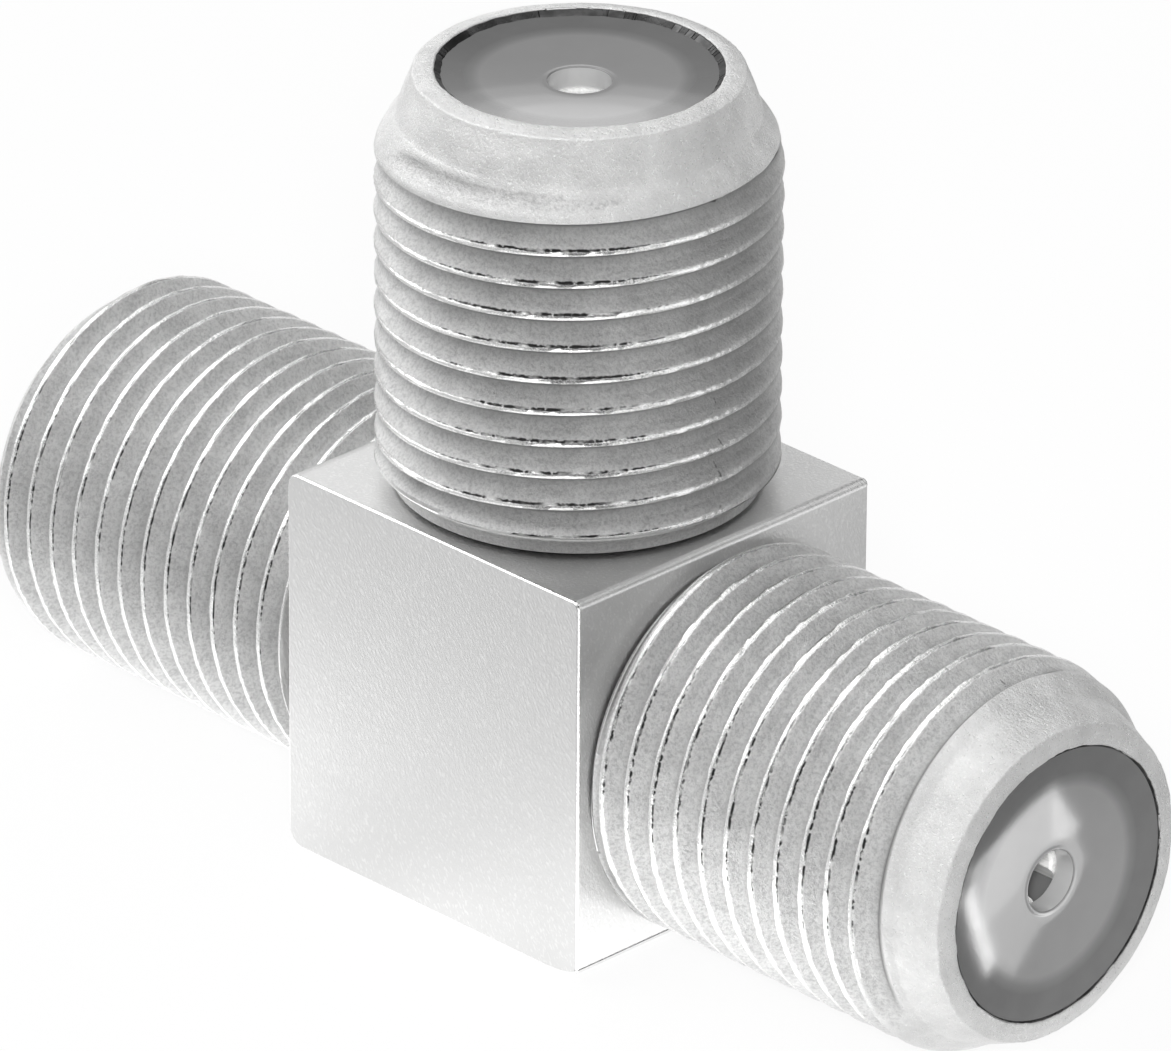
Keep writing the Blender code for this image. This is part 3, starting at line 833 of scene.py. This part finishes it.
def mark_painted_light(disc, place, sizes):
    """Writes how pale the plastic is painted, as painted light: a little in its thin middle, where light shows
    through, most in the shaded wall of the pin hole.
    """
    points = coordinates(disc) @ np.array(place.turn.to_3x3())
    radius = np.hypot(points[:, 0], points[:, 1])
    pale = THIN_PAINTED_LIGHT * (1 - smoothstep((radius - sizes.thin_radius) / THIN_FADE))
    pale = np.where(radius < sizes.hole_radius + PLACE_TOLERANCE, 1, pale)
    attribute = disc.data.attributes.new("pale", "FLOAT", "POINT")
    attribute.data.foreach_set("value", pale)


class MESH_OT_tee_insulators(bpy.types.Operator):
    """Models the dished insulating discs in the mouths of the ports"""

    bl_idname = "mesh.tee_insulators"
    bl_label = "Insulators"

    def execute(self, context):
        material = dielectric_material()
        sizes = context.scene.tee_insulator
        for name, place in ports().items():
            outline = [(radius, place.rim - place.recess + height) for radius, height in dish_points(sizes)]
            disc = turned_piece("disc_" + name, outline + outline[:1], place.turn, DISC_SIDES, DISC_SMOOTH)
            mark_painted_light(disc, place, sizes)
            place_mesh(disc, Matrix.Translation(crossing()))
            disc.data.materials.append(material)
            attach(disc, BODY)
            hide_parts("front_insulator_" + name)
        return {"FINISHED"}


def dress(node_name, material):
    """Gives a carried-over CAD piece its finish."""
    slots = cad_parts[node_name].material_slots
    for slot in slots:
        slot.material = material
    if not slots:
        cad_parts[node_name].data.materials.append(material)


CONTACT_EDGE = 0.06 * MM
CONTACT_SIDES = 64
CONTACT_SMOOTH = 35
BLADE_OVERLAP = 0.3 * MM
SLOT_SLANT = math.radians(35)


def contact_side(sizes, rim):
    """One half of the through contact as (radius, height) points, from its bore's floor round to the bar."""
    tip = rim - sizes.tip_depth
    edge = CONTACT_EDGE
    return [
        (0, tip - sizes.bore_depth),
        (sizes.waist_radius, tip - sizes.bore_depth),
        (sizes.waist_radius, tip - sizes.waist_depth),
        (sizes.mouth_radius - edge, tip - edge),
        (sizes.mouth_radius, tip),
        (sizes.barrel_radius - edge, tip),
        (sizes.barrel_radius, tip - edge),
        (sizes.barrel_radius, sizes.collar_at),
        (sizes.collar_radius, sizes.collar_at),
        (sizes.collar_radius, sizes.collar_at - sizes.collar_length),
        (sizes.bar_radius, sizes.collar_at - sizes.collar_length),
    ]


def slot_blade(sizes, rim, turn):
    """A blade that slots a barrel from its open end, slanted about the port's axis."""
    tip = rim - sizes.tip_depth
    over = BLADE_OVERLAP
    bpy.ops.object.select_all(action="DESELECT")
    bpy.ops.mesh.primitive_cube_add(size=1)
    obj = start_piece("slot")
    bpy.ops.object.mode_set(mode="EDIT")
    bpy.ops.mesh.select_all(action="SELECT")
    span = 2 * (sizes.barrel_radius + over)
    reach = sizes.slot_length + over
    bpy.ops.transform.resize(value=(span, sizes.slot_width, reach), center_override=(0, 0, 0))
    bpy.ops.transform.translate(value=(0, 0, tip + over - reach / 2))
    bpy.ops.object.mode_set(mode="OBJECT")
    place_mesh(obj, turn @ Matrix.Rotation(SLOT_SLANT, 4, "Z"))
    return obj


class MESH_OT_tee_inner_pieces(bpy.types.Operator):
    """Models the slotted through contact and finishes the contacts and sleeves inside the casting"""

    bl_idname = "mesh.tee_inner_pieces"
    bl_label = "Contacts and sleeves"

    def execute(self, context):
        sizes = context.scene.tee_contact
        made = ports()
        near = contact_side(sizes, made["right"].rim)
        far = [(radius, -height) for radius, height in reversed(contact_side(sizes, made["left"].rim))]
        contact = turned_piece("contact_tinned", near + far, TO_RIGHT, CONTACT_SIDES, CONTACT_SMOOTH)
        for name in ("right", "left"):
            combine(contact, slot_blade(sizes, made[name].rim, made[name].turn), "DIFFERENCE")
        place_mesh(contact, Matrix.Translation(crossing()))
        spring = spring_material()
        sleeve = sleeve_material()
        contact.data.materials.clear()
        contact.data.materials.append(spring)
        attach(contact, BODY)
        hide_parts("through_contact")
        dress("branch_contact", spring)
        for name in made:
            dress("rear_sleeve_" + name, sleeve)
        return {"FINISHED"}


# Materials


class Nodes:
    """The node tree of one material or world, with short ways to add and join nodes."""

    def __init__(self, tree):
        self.tree = tree
        tree.nodes.clear()

    def add(self, kind, inputs=None, **settings):
        """A node with these settings. An input is a value or another node's socket."""
        node = self.tree.nodes.new(kind)
        for key, value in settings.items():
            setattr(node, key, value)
        for key, value in (inputs or {}).items():
            self.feed(node.inputs[key], value)
        return node

    def feed(self, socket, value):
        """Sets a socket to a value, or joins it to another node's socket."""
        if isinstance(value, bpy.types.NodeSocket):
            self.tree.links.new(value, socket)
        else:
            socket.default_value = value

    def math(self, operation, *values, clamp=False):
        """One step of arithmetic on values or sockets."""
        node = self.add("ShaderNodeMath", operation=operation, use_clamp=clamp)
        for socket, value in zip(node.inputs, values):
            self.feed(socket, value)
        return node.outputs[0]

    def mix(self, factor, first, second):
        """The first colour at factor 0 and the second at 1."""
        node = self.add("ShaderNodeMix", data_type="RGBA")
        self.feed(node.inputs["Factor"], factor)
        self.feed(node.inputs[6], first)
        self.feed(node.inputs[7], second)
        return node.outputs[2]

    def span(self, value, low, high, to_low, to_high, steps="LINEAR"):
        """Takes low to high over to to_low to to_high, and holds the ends."""
        node = self.add("ShaderNodeMapRange", interpolation_type=steps)
        for socket, number in zip(node.inputs, (value, low, high, to_low, to_high)):
            self.feed(socket, number)
        return node.outputs[0]

    def noise(self, where, scale, detail=2, roughness=0.5):
        """Noise from 0 to 1, with about this many cells in a unit."""
        node = self.add("ShaderNodeTexNoise", {"Scale": scale, "Detail": detail, "Roughness": roughness})
        self.feed(node.inputs["Vector"], where)
        return node.outputs[0]

    def bump(self, strength, height, millimetres, normal=None):
        """The normal of a bump of this height, on top of another bump's where one is given."""
        inputs = {"Strength": strength, "Distance": millimetres * MM, "Height": height}
        if normal is not None:
            inputs["Normal"] = normal
        return self.add("ShaderNodeBump", inputs).outputs[0]

    def surface(self, inputs):
        """Ends the material in a Principled shader with these inputs."""
        shader = self.add("ShaderNodeBsdfPrincipled", inputs)
        self.add("ShaderNodeOutputMaterial", {"Surface": shader.outputs[0]})


def new_material(name):
    """An empty material and its node tree."""
    material = bpy.data.materials.new(name)
    material.use_nodes = True
    return material, Nodes(material.node_tree)


def object_millimetres(nodes, scale=(1, 1, 1), rotation=(0, 0, 0)):
    """Object coordinates in millimetres, stretched and turned for a grain."""
    where = nodes.add("ShaderNodeTexCoord").outputs["Object"]
    grown = tuple(1000 * value for value in scale)
    return nodes.add("ShaderNodeMapping", {"Vector": where, "Scale": grown, "Rotation": rotation}).outputs[0]


def opaque(values):
    """A colour's three shares with a full alpha."""
    return (*values, 1)


# The direction along which the grain of the plating is drawn out
GRAIN_LEAN = Vector((0.50, 0.36, -0.79))


def nickel_material():
    """Grained plating, worn bright on the crests with a painted highlight, with painted shade in the roots, on
    the neck, on the mouth's wall and along the burr's edge.
    """
    finish = bpy.context.scene.tee_finish
    material, nodes = new_material("nickel_plate_grained")
    where = object_millimetres(nodes)
    lean = tuple(GRAIN_LEAN.to_track_quat("Z", "Y").to_euler())
    drawn_out = {"Vector": where, "Rotation": lean, "Scale": (1, 1, 4)}
    streaked = nodes.add("ShaderNodeMapping", drawn_out, vector_type="TEXTURE").outputs[0]
    zone = nodes.add("ShaderNodeAttribute", attribute_name="zone")
    split = nodes.add("ShaderNodeSeparateColor", {"Color": zone.outputs["Color"]})
    # The zone's shares: crest wear with a painted highlight, painted shade (root), the kind of surface, and in
    # its alpha the painted shade along the burr's edge with the seam's crack
    crest, root, surface = split.outputs[0], split.outputs[1], split.outputs[2]
    burr = zone.outputs["Alpha"]
    on_port = nodes.span(surface, 0.1, 0.4, 0, 1)
    on_nose = nodes.span(surface, 0.6, 0.9, 0, 1)
    on_thread = nodes.math("SUBTRACT", on_port, nodes.math("MULTIPLY", on_nose, 0.8))

    # The patterns, from the finest streaks to slow swells
    blotches = nodes.noise(where, 1.1, 3, 0.6)
    mottle = nodes.noise(where, 12, 6, 0.8)
    grain = nodes.noise(streaked, 16, 2, 0.6)
    chips = nodes.noise(where, 8, 4, 0.65)
    swells = nodes.noise(where, 0.7, 2, 0.5)
    patches = nodes.noise(where, 2.2, 2, 0.5)

    # Colour: clouds, spots on the threads and flecks on the block, then painted shade in the roots, worn
    # crests with a painted highlight, and painted shade along the burr's edge and on the mouth's wall
    clouds = nodes.span(blotches, 0.35, 0.65, 0.0, 0.32)
    cloudy = nodes.math("MULTIPLY", clouds, nodes.span(on_port, 0, 1, 0.10, 1))
    spots = nodes.math("MULTIPLY", nodes.span(mottle, 0.45, 0.60, 0.0, 0.6), on_thread)
    off_ports = nodes.span(on_port, 0, 1, 1, 0.2)
    flecks = nodes.math("MULTIPLY", nodes.span(grain, 0.56, 0.64, 0.24, 0.0), off_ports)
    shade = nodes.math("ADD", nodes.math("ADD", cloudy, spots), flecks, clamp=True)
    plain = nodes.mix(shade, opaque(finish.nickel), opaque(finish.nickel_shade))
    # Painted shade in the roots, on the neck and on the mouth's wall
    root_shaded = nodes.mix(nodes.math("MULTIPLY", root, 0.85), plain, opaque(finish.root_shadow_colour))
    uneven = nodes.math("MULTIPLY", nodes.math("SUBTRACT", chips, 0.5), 1.1)
    # Worn crests: smoother metal, and a painted highlight in the colour
    worn = nodes.span(nodes.math("ADD", crest, uneven), 0.3, 0.7, 0, 1)
    worn_highlit = nodes.mix(worn, root_shaded, opaque(finish.nickel_worn_highlight))
    # Painted shade and dark reflection along the burr's edge, broken into patches
    ragged_shadow = nodes.math("MULTIPLY", burr, nodes.span(chips, 0.34, 0.56, 0.45, 1.3))
    gaps = nodes.span(patches, 0.32, 0.50, 0, 1)
    patchy_shadow = nodes.math("MULTIPLY", nodes.span(ragged_shadow, 0.38, 0.60, 0, 1), gaps)
    # Painted shade on the mouth's wall, in patches
    mouth_shadow_patches = nodes.span(patches, 0.3, 0.6, 0.65, 0.95)
    shaded_mouth = nodes.math("MULTIPLY", nodes.span(root, 1.0, 1.35, 0, 1), mouth_shadow_patches)
    base = nodes.mix(nodes.math("MAXIMUM", patchy_shadow, shaded_mouth), worn_highlit, opaque(finish.burr_shadow))

    # Gloss: smoother where worn and on the nose, rough in the ragged edge
    rough = nodes.span(mottle, 0.3, 0.7, 0.32, 0.50)
    rough = nodes.math("SUBTRACT", rough, nodes.math("MULTIPLY", worn, 0.24))
    rough = nodes.math("SUBTRACT", rough, nodes.math("MULTIPLY", on_nose, 0.10))
    rough = nodes.math("ADD", rough, nodes.math("MULTIPLY", patchy_shadow, 0.4), clamp=True)

    # Relief: grain, slow waves and lumps on the ports, and chips on the crests
    flecked = nodes.bump(0.8, grain, 0.016)
    waves = nodes.bump(0.9, nodes.math("MULTIPLY", swells, on_port), 0.14, flecked)
    lumpy = nodes.math("MULTIPLY", mottle, nodes.span(on_port, 0, 1, 0.05, 1))
    lumpy = nodes.math("MULTIPLY", lumpy, nodes.span(on_nose, 0, 1, 1, 0.9))
    lumpy = nodes.math("MULTIPLY", lumpy, nodes.span(worn, 0, 1, 1, 0.25))
    lumps = nodes.bump(0.9, lumpy, 0.052, waves)
    jagged = nodes.bump(0.5, nodes.math("MULTIPLY", chips, crest), 0.02, lumps)
    nodes.surface({"Metallic": 1.0, "Base Color": base, "Roughness": rough, "Normal": jagged})
    return material


def dielectric_material():
    """Glossy grey plastic, with painted light that makes it paler in its thin middle and on the pin hole's
    wall.
    """
    finish = bpy.context.scene.tee_finish
    material, nodes = new_material("dielectric_moulded")
    where = object_millimetres(nodes)
    cloud = nodes.noise(where, 1.2, 2, 0.5)
    grain = nodes.noise(where, 16, 2, 0.6)
    darker = tuple(value * 0.88 for value in finish.dielectric)
    clouded = nodes.mix(nodes.span(cloud, 0.35, 0.65, 0, 1), opaque(finish.dielectric), opaque(darker))
    # Painted light: paler in the thin middle and on the pin hole's wall
    pale = nodes.add("ShaderNodeAttribute", attribute_name="pale").outputs["Fac"]
    base = nodes.mix(pale, clouded, opaque(finish.dielectric_lit))
    rough = nodes.span(cloud, 0.3, 0.7, 0.06, 0.09)
    normal = nodes.bump(0.1, grain, 0.003)
    nodes.surface({"Base Color": base, "Roughness": rough, "IOR": 1.8, "Normal": normal})
    return material


def sleeve_material():
    """Plain white moulded plastic."""
    finish = bpy.context.scene.tee_finish
    material, nodes = new_material("sleeve_polyethylene")
    where = object_millimetres(nodes)
    cloud = nodes.noise(where, 1.5, 2, 0.5)
    darker = tuple(value * 0.9 for value in finish.sleeve)
    base = nodes.mix(cloud, opaque(finish.sleeve), opaque(darker))
    nodes.surface({"Base Color": base, "Roughness": 0.42, "Normal": nodes.bump(0.2, cloud, 0.01)})
    return material


def spring_material():
    """Tin plate, brushed along the contact."""
    finish = bpy.context.scene.tee_finish
    material, nodes = new_material("spring_tin_plate")
    brushed = object_millimetres(nodes, scale=(0.6, 14, 14))
    lines = nodes.noise(brushed, 1.0, 2, 0.6)
    darker = tuple(value * 0.8 for value in finish.spring)
    base = nodes.mix(nodes.span(lines, 0.35, 0.65, 0, 1), opaque(finish.spring), opaque(darker))
    rough = nodes.span(lines, 0.3, 0.7, 0.3, 0.45)
    normal = nodes.bump(0.6, lines, 0.015)
    nodes.surface({"Metallic": 0.1, "Base Color": base, "Roughness": rough, "Normal": normal})
    return material


# Stage


def outward(azimuth, elevation):
    """The direction from the tee to something at this turn and height."""
    flat = math.cos(elevation)
    return Vector((math.sin(azimuth) * flat, -math.cos(azimuth) * flat, math.sin(elevation)))


def facing(back, distance):
    """Places something at a distance along a direction from the tee, turned to face it."""
    turned = back.to_track_quat("Z", "Y").to_matrix().to_4x4()
    return Matrix.Translation(crossing() + back * distance) @ turned


def show_in_reflections_only(obj):
    """Hides a stage piece from the camera and from diffuse and shadow rays."""
    obj.visible_camera = False
    obj.visible_diffuse = False
    obj.visible_shadow = False


SENSOR_WIDTH = 36


def make_camera(studio):
    """The camera of the photograph, worked out from its fitted angles."""
    back = outward(studio.azimuth, studio.elevation)
    right = Vector((math.cos(studio.azimuth), math.sin(studio.azimuth), 0))
    up = back.cross(right)
    turned_right = right * math.cos(studio.roll) + up * math.sin(studio.roll)
    turned_up = up * math.cos(studio.roll) - right * math.sin(studio.roll)
    place = crossing() + back * studio.distance + turned_right * studio.aim_right + turned_up * studio.aim_up
    matrix = Matrix((turned_right, turned_up, back)).transposed().to_4x4()
    matrix.translation = place
    bpy.ops.object.camera_add()
    camera = bpy.context.object
    camera.name = "studio_camera"
    camera.matrix_world = matrix
    camera.data.sensor_fit = "HORIZONTAL"
    camera.data.sensor_width = SENSOR_WIDTH
    camera.data.lens = studio.lens
    camera.data.clip_start = 0.01
    camera.data.clip_end = 10
    bpy.context.scene.camera = camera


FLOOR_SIZE = 1.2
FLOOR_GLOW_SHARE = 0.9


def make_floor(studio):
    """A pale floor that the camera sees nearly white, with the tee's soft shadow on it."""
    bpy.ops.object.select_all(action="DESELECT")
    bpy.ops.mesh.primitive_plane_add(size=FLOOR_SIZE)
    floor = start_piece("floor")
    material, nodes = new_material("floor_pale")
    path = nodes.add("ShaderNodeLightPath")
    plain = nodes.add("ShaderNodeBsdfDiffuse", {"Color": opaque(studio.floor)})
    glow = nodes.add("ShaderNodeEmission", {"Color": opaque(studio.backdrop), "Strength": 1.0})
    glow_share = nodes.math("MULTIPLY", path.outputs["Is Camera Ray"], FLOOR_GLOW_SHARE)
    both = nodes.add("ShaderNodeMixShader", {"Fac": glow_share})
    nodes.feed(both.inputs[1], plain.outputs[0])
    nodes.feed(both.inputs[2], glow.outputs[0])
    nodes.add("ShaderNodeOutputMaterial", {"Surface": both.outputs[0]})
    floor.data.materials.append(material)
    floor.visible_glossy = False


# Soft lobes of the tent round the tee: direction, inner and outer angle in degrees, and what each adds
TENT_LEVEL = 0.71
TENT_SLOPE = (-0.10, -0.15, -0.02)
TENT_LOBES = (
    ((0.10, 0.80, 0.60), 10, 42, -0.58),
    ((0.91, 0.41, 0.07), 10, 50, 0.60),
    ((0.00, 0.00, 1.00), 12, 48, 0.85),
    ((-0.64, -0.63, -0.44), 15, 50, -0.32),
    ((-0.70, -0.35, 0.60), 10, 50, 0.25),
    ((0.25, 0.92, -0.35), 12, 36, -0.15),
    ((-0.45, 0.88, 0.00), 8, 34, 0.25),
    ((0.70, -0.70, 0.16), 22, 38, -1.15),
    ((-0.15, -0.89, -0.44), 8, 30, -0.22),
)
TENT_LEAST = 0.02

# Pools of light on the table next to the tee, that only reflections see: centre, inner and outer radius in
# millimetres, and level
GLOW_POOLS = (
    ((-4, -6), 4, 16, 0.38),
    ((-22, -18), 3, 15, 0.27),
    ((-15, -2), 6, 14, 0.45),
    ((9, -3), 8, 14, 0.25),
    ((10, -10), 2, 8, 1.7),
    ((20, -20), 3, 11, 1.7),
    ((30, -30), 4, 13, 1.7),
)
GLOW_SIZE = 0.12
GLOW_DEPTH = 0.1 * MM


def make_glow():
    """The light that the table throws back close to the tee, for reflections only."""
    bpy.ops.object.select_all(action="DESELECT")
    bpy.ops.mesh.primitive_plane_add(size=GLOW_SIZE, location=(0, 0, -GLOW_DEPTH))
    glow = start_piece("table_glow")
    place_mesh(glow, Matrix.Identity(4))
    material, nodes = new_material("table_glow")
    where = object_millimetres(nodes)
    level = None
    for (x, y), inner, outer, amount in GLOW_POOLS:
        offset = nodes.add("ShaderNodeVectorMath", operation="DISTANCE")
        nodes.feed(offset.inputs[0], where)
        nodes.feed(offset.inputs[1], (x, y, 0))
        pool = nodes.span(offset.outputs["Value"], inner, outer, amount, 0, steps="SMOOTHSTEP")
        level = pool if level is None else nodes.math("ADD", level, pool)
    light = nodes.add("ShaderNodeEmission", {"Color": (1, 1, 1, 1), "Strength": level})
    clear = nodes.add("ShaderNodeBsdfTransparent")
    both = nodes.add("ShaderNodeAddShader")
    nodes.feed(both.inputs[0], clear.outputs[0])
    nodes.feed(both.inputs[1], light.outputs[0])
    nodes.add("ShaderNodeOutputMaterial", {"Surface": both.outputs[0]})
    glow.data.materials.append(material)
    show_in_reflections_only(glow)


def make_world(studio):
    """A white backdrop for the camera and a soft tent, open at the front, for reflections."""
    world = bpy.data.worlds.new("studio_world")
    bpy.context.scene.world = world
    world.use_nodes = True
    nodes = Nodes(world.node_tree)
    path = nodes.add("ShaderNodeLightPath")
    towards = nodes.add("ShaderNodeTexCoord").outputs["Generated"]

    def dot(direction):
        node = nodes.add("ShaderNodeVectorMath", operation="DOT_PRODUCT")
        nodes.feed(node.inputs[0], towards)
        nodes.feed(node.inputs[1], direction)
        return node.outputs["Value"]

    level = nodes.math("ADD", dot(TENT_SLOPE), TENT_LEVEL)
    for direction, inner, outer, amount in TENT_LOBES:
        near, far = math.cos(math.radians(inner)), math.cos(math.radians(outer))
        lobe = nodes.span(dot(Vector(direction).normalized()), far, near, 0, amount, steps="SMOOTHSTEP")
        level = nodes.math("ADD", level, lobe)
    level = nodes.math("MAXIMUM", level, TENT_LEAST)

    tent = nodes.add("ShaderNodeBackground", {"Strength": level})
    ambient = nodes.add("ShaderNodeBackground", {"Strength": studio.ambient})
    white = nodes.add("ShaderNodeBackground", {"Color": opaque(studio.backdrop), "Strength": 1.0})
    for node in (tent, ambient):
        node.inputs["Color"].default_value = (1, 1, 1, 1)
    shown = nodes.add("ShaderNodeMixShader", {"Fac": path.outputs["Is Glossy Ray"]})
    nodes.feed(shown.inputs[1], ambient.outputs[0])
    nodes.feed(shown.inputs[2], tent.outputs[0])
    plain_view = nodes.math("MAXIMUM", path.outputs["Is Camera Ray"], path.outputs["Is Transmission Ray"])
    both = nodes.add("ShaderNodeMixShader", {"Fac": plain_view})
    nodes.feed(both.inputs[1], shown.outputs[0])
    nodes.feed(both.inputs[2], white.outputs[0])
    nodes.add("ShaderNodeOutputWorld", {"Surface": both.outputs[0]})


def card(name, direction, distance, corners, strength):
    """A bright card for reflections only, facing the tee, with its corners in degrees round the direction."""
    back = Vector(direction).normalized()
    reach = distance * math.pi / 180
    bpy.ops.object.select_all(action="DESELECT")
    bpy.ops.mesh.primitive_circle_add(vertices=len(corners), radius=reach, fill_type="NGON")
    obj = start_piece(name)
    for vertex, (across, up) in zip(obj.data.vertices, corners):
        vertex.co = (across * reach, up * reach, 0)
    place_mesh(obj, facing(back, distance))
    material, nodes = new_material(name)
    glow = nodes.add("ShaderNodeEmission", {"Color": (1, 1, 1, 1), "Strength": strength})
    nodes.add("ShaderNodeOutputMaterial", {"Surface": glow.outputs[0]})
    obj.data.materials.append(material)
    show_in_reflections_only(obj)


def softbox(name, azimuth, elevation, distance, size, power, in_reflections):
    """A square area lamp that faces the tee, at angles in degrees."""
    bpy.ops.object.light_add(type="AREA")
    lamp = bpy.context.object
    lamp.name = name
    lamp.data.size = size
    lamp.data.energy = power
    lamp.visible_glossy = in_reflections
    lamp.matrix_world = facing(outward(math.radians(azimuth), math.radians(elevation)), distance)


OVAL_CORNERS = 20


def oval(across, up, middle):
    """Corners of an upright oval card."""
    turns = [math.tau * index / OVAL_CORNERS for index in range(OVAL_CORNERS)]
    return tuple((across * math.cos(turn), middle + up * math.sin(turn)) for turn in turns)


# Cards for reflections: direction, distance, corners in degrees across and up, and strength. The directions
# are where the camera looks by way of the right port's face and of the top port's.
MIRROR_OF_RIGHT = (0.639, 0.632, -0.439)
MIRROR_OF_TOP = (-0.639, 0.632, 0.439)
LOW_CORNERS = ((5.3, -8.1), (14.4, -5.7), (6.4, 2.6), (2.8, 4.5), (-4.0, -1.0), (-1.0, -3.6))
HIGH_CORNERS = ((5.3, -8.1), (14.4, -5.7), (9.0, -0.6), (1.0, -2.6), (-1.0, -3.6))
CARDS = (
    ("card_low", MIRROR_OF_RIGHT, 0.40, LOW_CORNERS, 2.5),
    ("card_high", MIRROR_OF_RIGHT, 0.39, HIGH_CORNERS, 3.4),
    ("card_apex", MIRROR_OF_RIGHT, 0.38, ((5.3, -8.1), (1.0, -2.6), (-1.4, -3.9)), 5.0),
    ("card_streak", MIRROR_OF_RIGHT, 0.37, ((13.0, -4.6), (13.9, -4.2), (7.0, 2.9), (6.1, 2.3)), 8.0),
    ("card_top_wide", MIRROR_OF_TOP, 0.40, oval(4.2, 8.5, -9), 1.1),
    ("card_top", MIRROR_OF_TOP, 0.39, oval(3.2, 6.5, -10), 1.5),
    ("card_top_near", MIRROR_OF_TOP, 0.38, oval(2.1, 4.5, -10.5), 1.9),
    ("card_flag", (-0.478, 0.767, 0.428), 0.0239, ((-12, -12), (12, -12), (12, 11), (-12, 11)), 0.2),
    ("card_shade", (0.736, 0.677, -0.013), 0.0152, ((-11, -11), (11, -11), (11, 11), (-11, 11)), 0.45),
)


# Lamps: turn and height in degrees, distance, size, power in watts, and whether reflections show them
LAMPS = (
    ("lamp_left", -70, 44, 0.4, 0.32, 0.52, True),
    ("lamp_front", 45, 28, 0.4, 0.06, 1.5, False),
)


class SCENE_OT_tee_stage(bpy.types.Operator):
    """Sets up the floor, the lamps, the world and the camera"""

    bl_idname = "scene.tee_stage"
    bl_label = "Stage"

    def execute(self, context):
        scene = context.scene
        studio = scene.tee_studio
        make_floor(studio)
        make_world(studio)
        make_glow()
        for lamp in LAMPS:
            softbox(*lamp)
        for bright in CARDS:
            card(*bright)
        make_camera(studio)
        scene.view_settings.view_transform = "Standard"
        return {"FINISHED"}


class VIEW3D_PT_tee(bpy.types.Panel):
    """Lists the steps that build the tee"""

    bl_label = "Tee"
    bl_space_type = "VIEW_3D"
    bl_region_type = "UI"
    bl_category = "Tee"

    def draw(self, context):
        for operator in OPERATORS:
            self.layout.operator(operator.bl_idname)


SETTINGS = {
    "tee_block": TeeBlockSizes,
    "tee_port": TeePortSizes,
    "tee_thread": TeeThreadSizes,
    "tee_insulator": TeeInsulatorSizes,
    "tee_contact": TeeContactSizes,
    "tee_finish": TeeFinish,
    "tee_studio": TeeStudio,
}
OPERATORS = (
    MESH_OT_tee_casting,
    MESH_OT_tee_insulators,
    MESH_OT_tee_inner_pieces,
    SCENE_OT_tee_stage,
)


def register():
    """Registers the settings, the operators and the panel."""
    for group in SETTINGS.values():
        bpy.utils.register_class(group)
    for name, group in SETTINGS.items():
        setattr(bpy.types.Scene, name, PointerProperty(type=group))
    for operator in OPERATORS:
        bpy.utils.register_class(operator)
    bpy.utils.register_class(VIEW3D_PT_tee)


def unregister():
    """Takes the panel, the operators and the settings out again."""
    bpy.utils.unregister_class(VIEW3D_PT_tee)
    for operator in reversed(OPERATORS):
        bpy.utils.unregister_class(operator)
    for name in SETTINGS:
        delattr(bpy.types.Scene, name)
    for group in reversed(SETTINGS.values()):
        bpy.utils.unregister_class(group)


def main():
    """Builds the tee and its stage."""
    register()
    bpy.ops.mesh.tee_casting()
    bpy.ops.mesh.tee_insulators()
    bpy.ops.mesh.tee_inner_pieces()
    bpy.ops.scene.tee_stage()


if __name__ == "__main__":
    main()
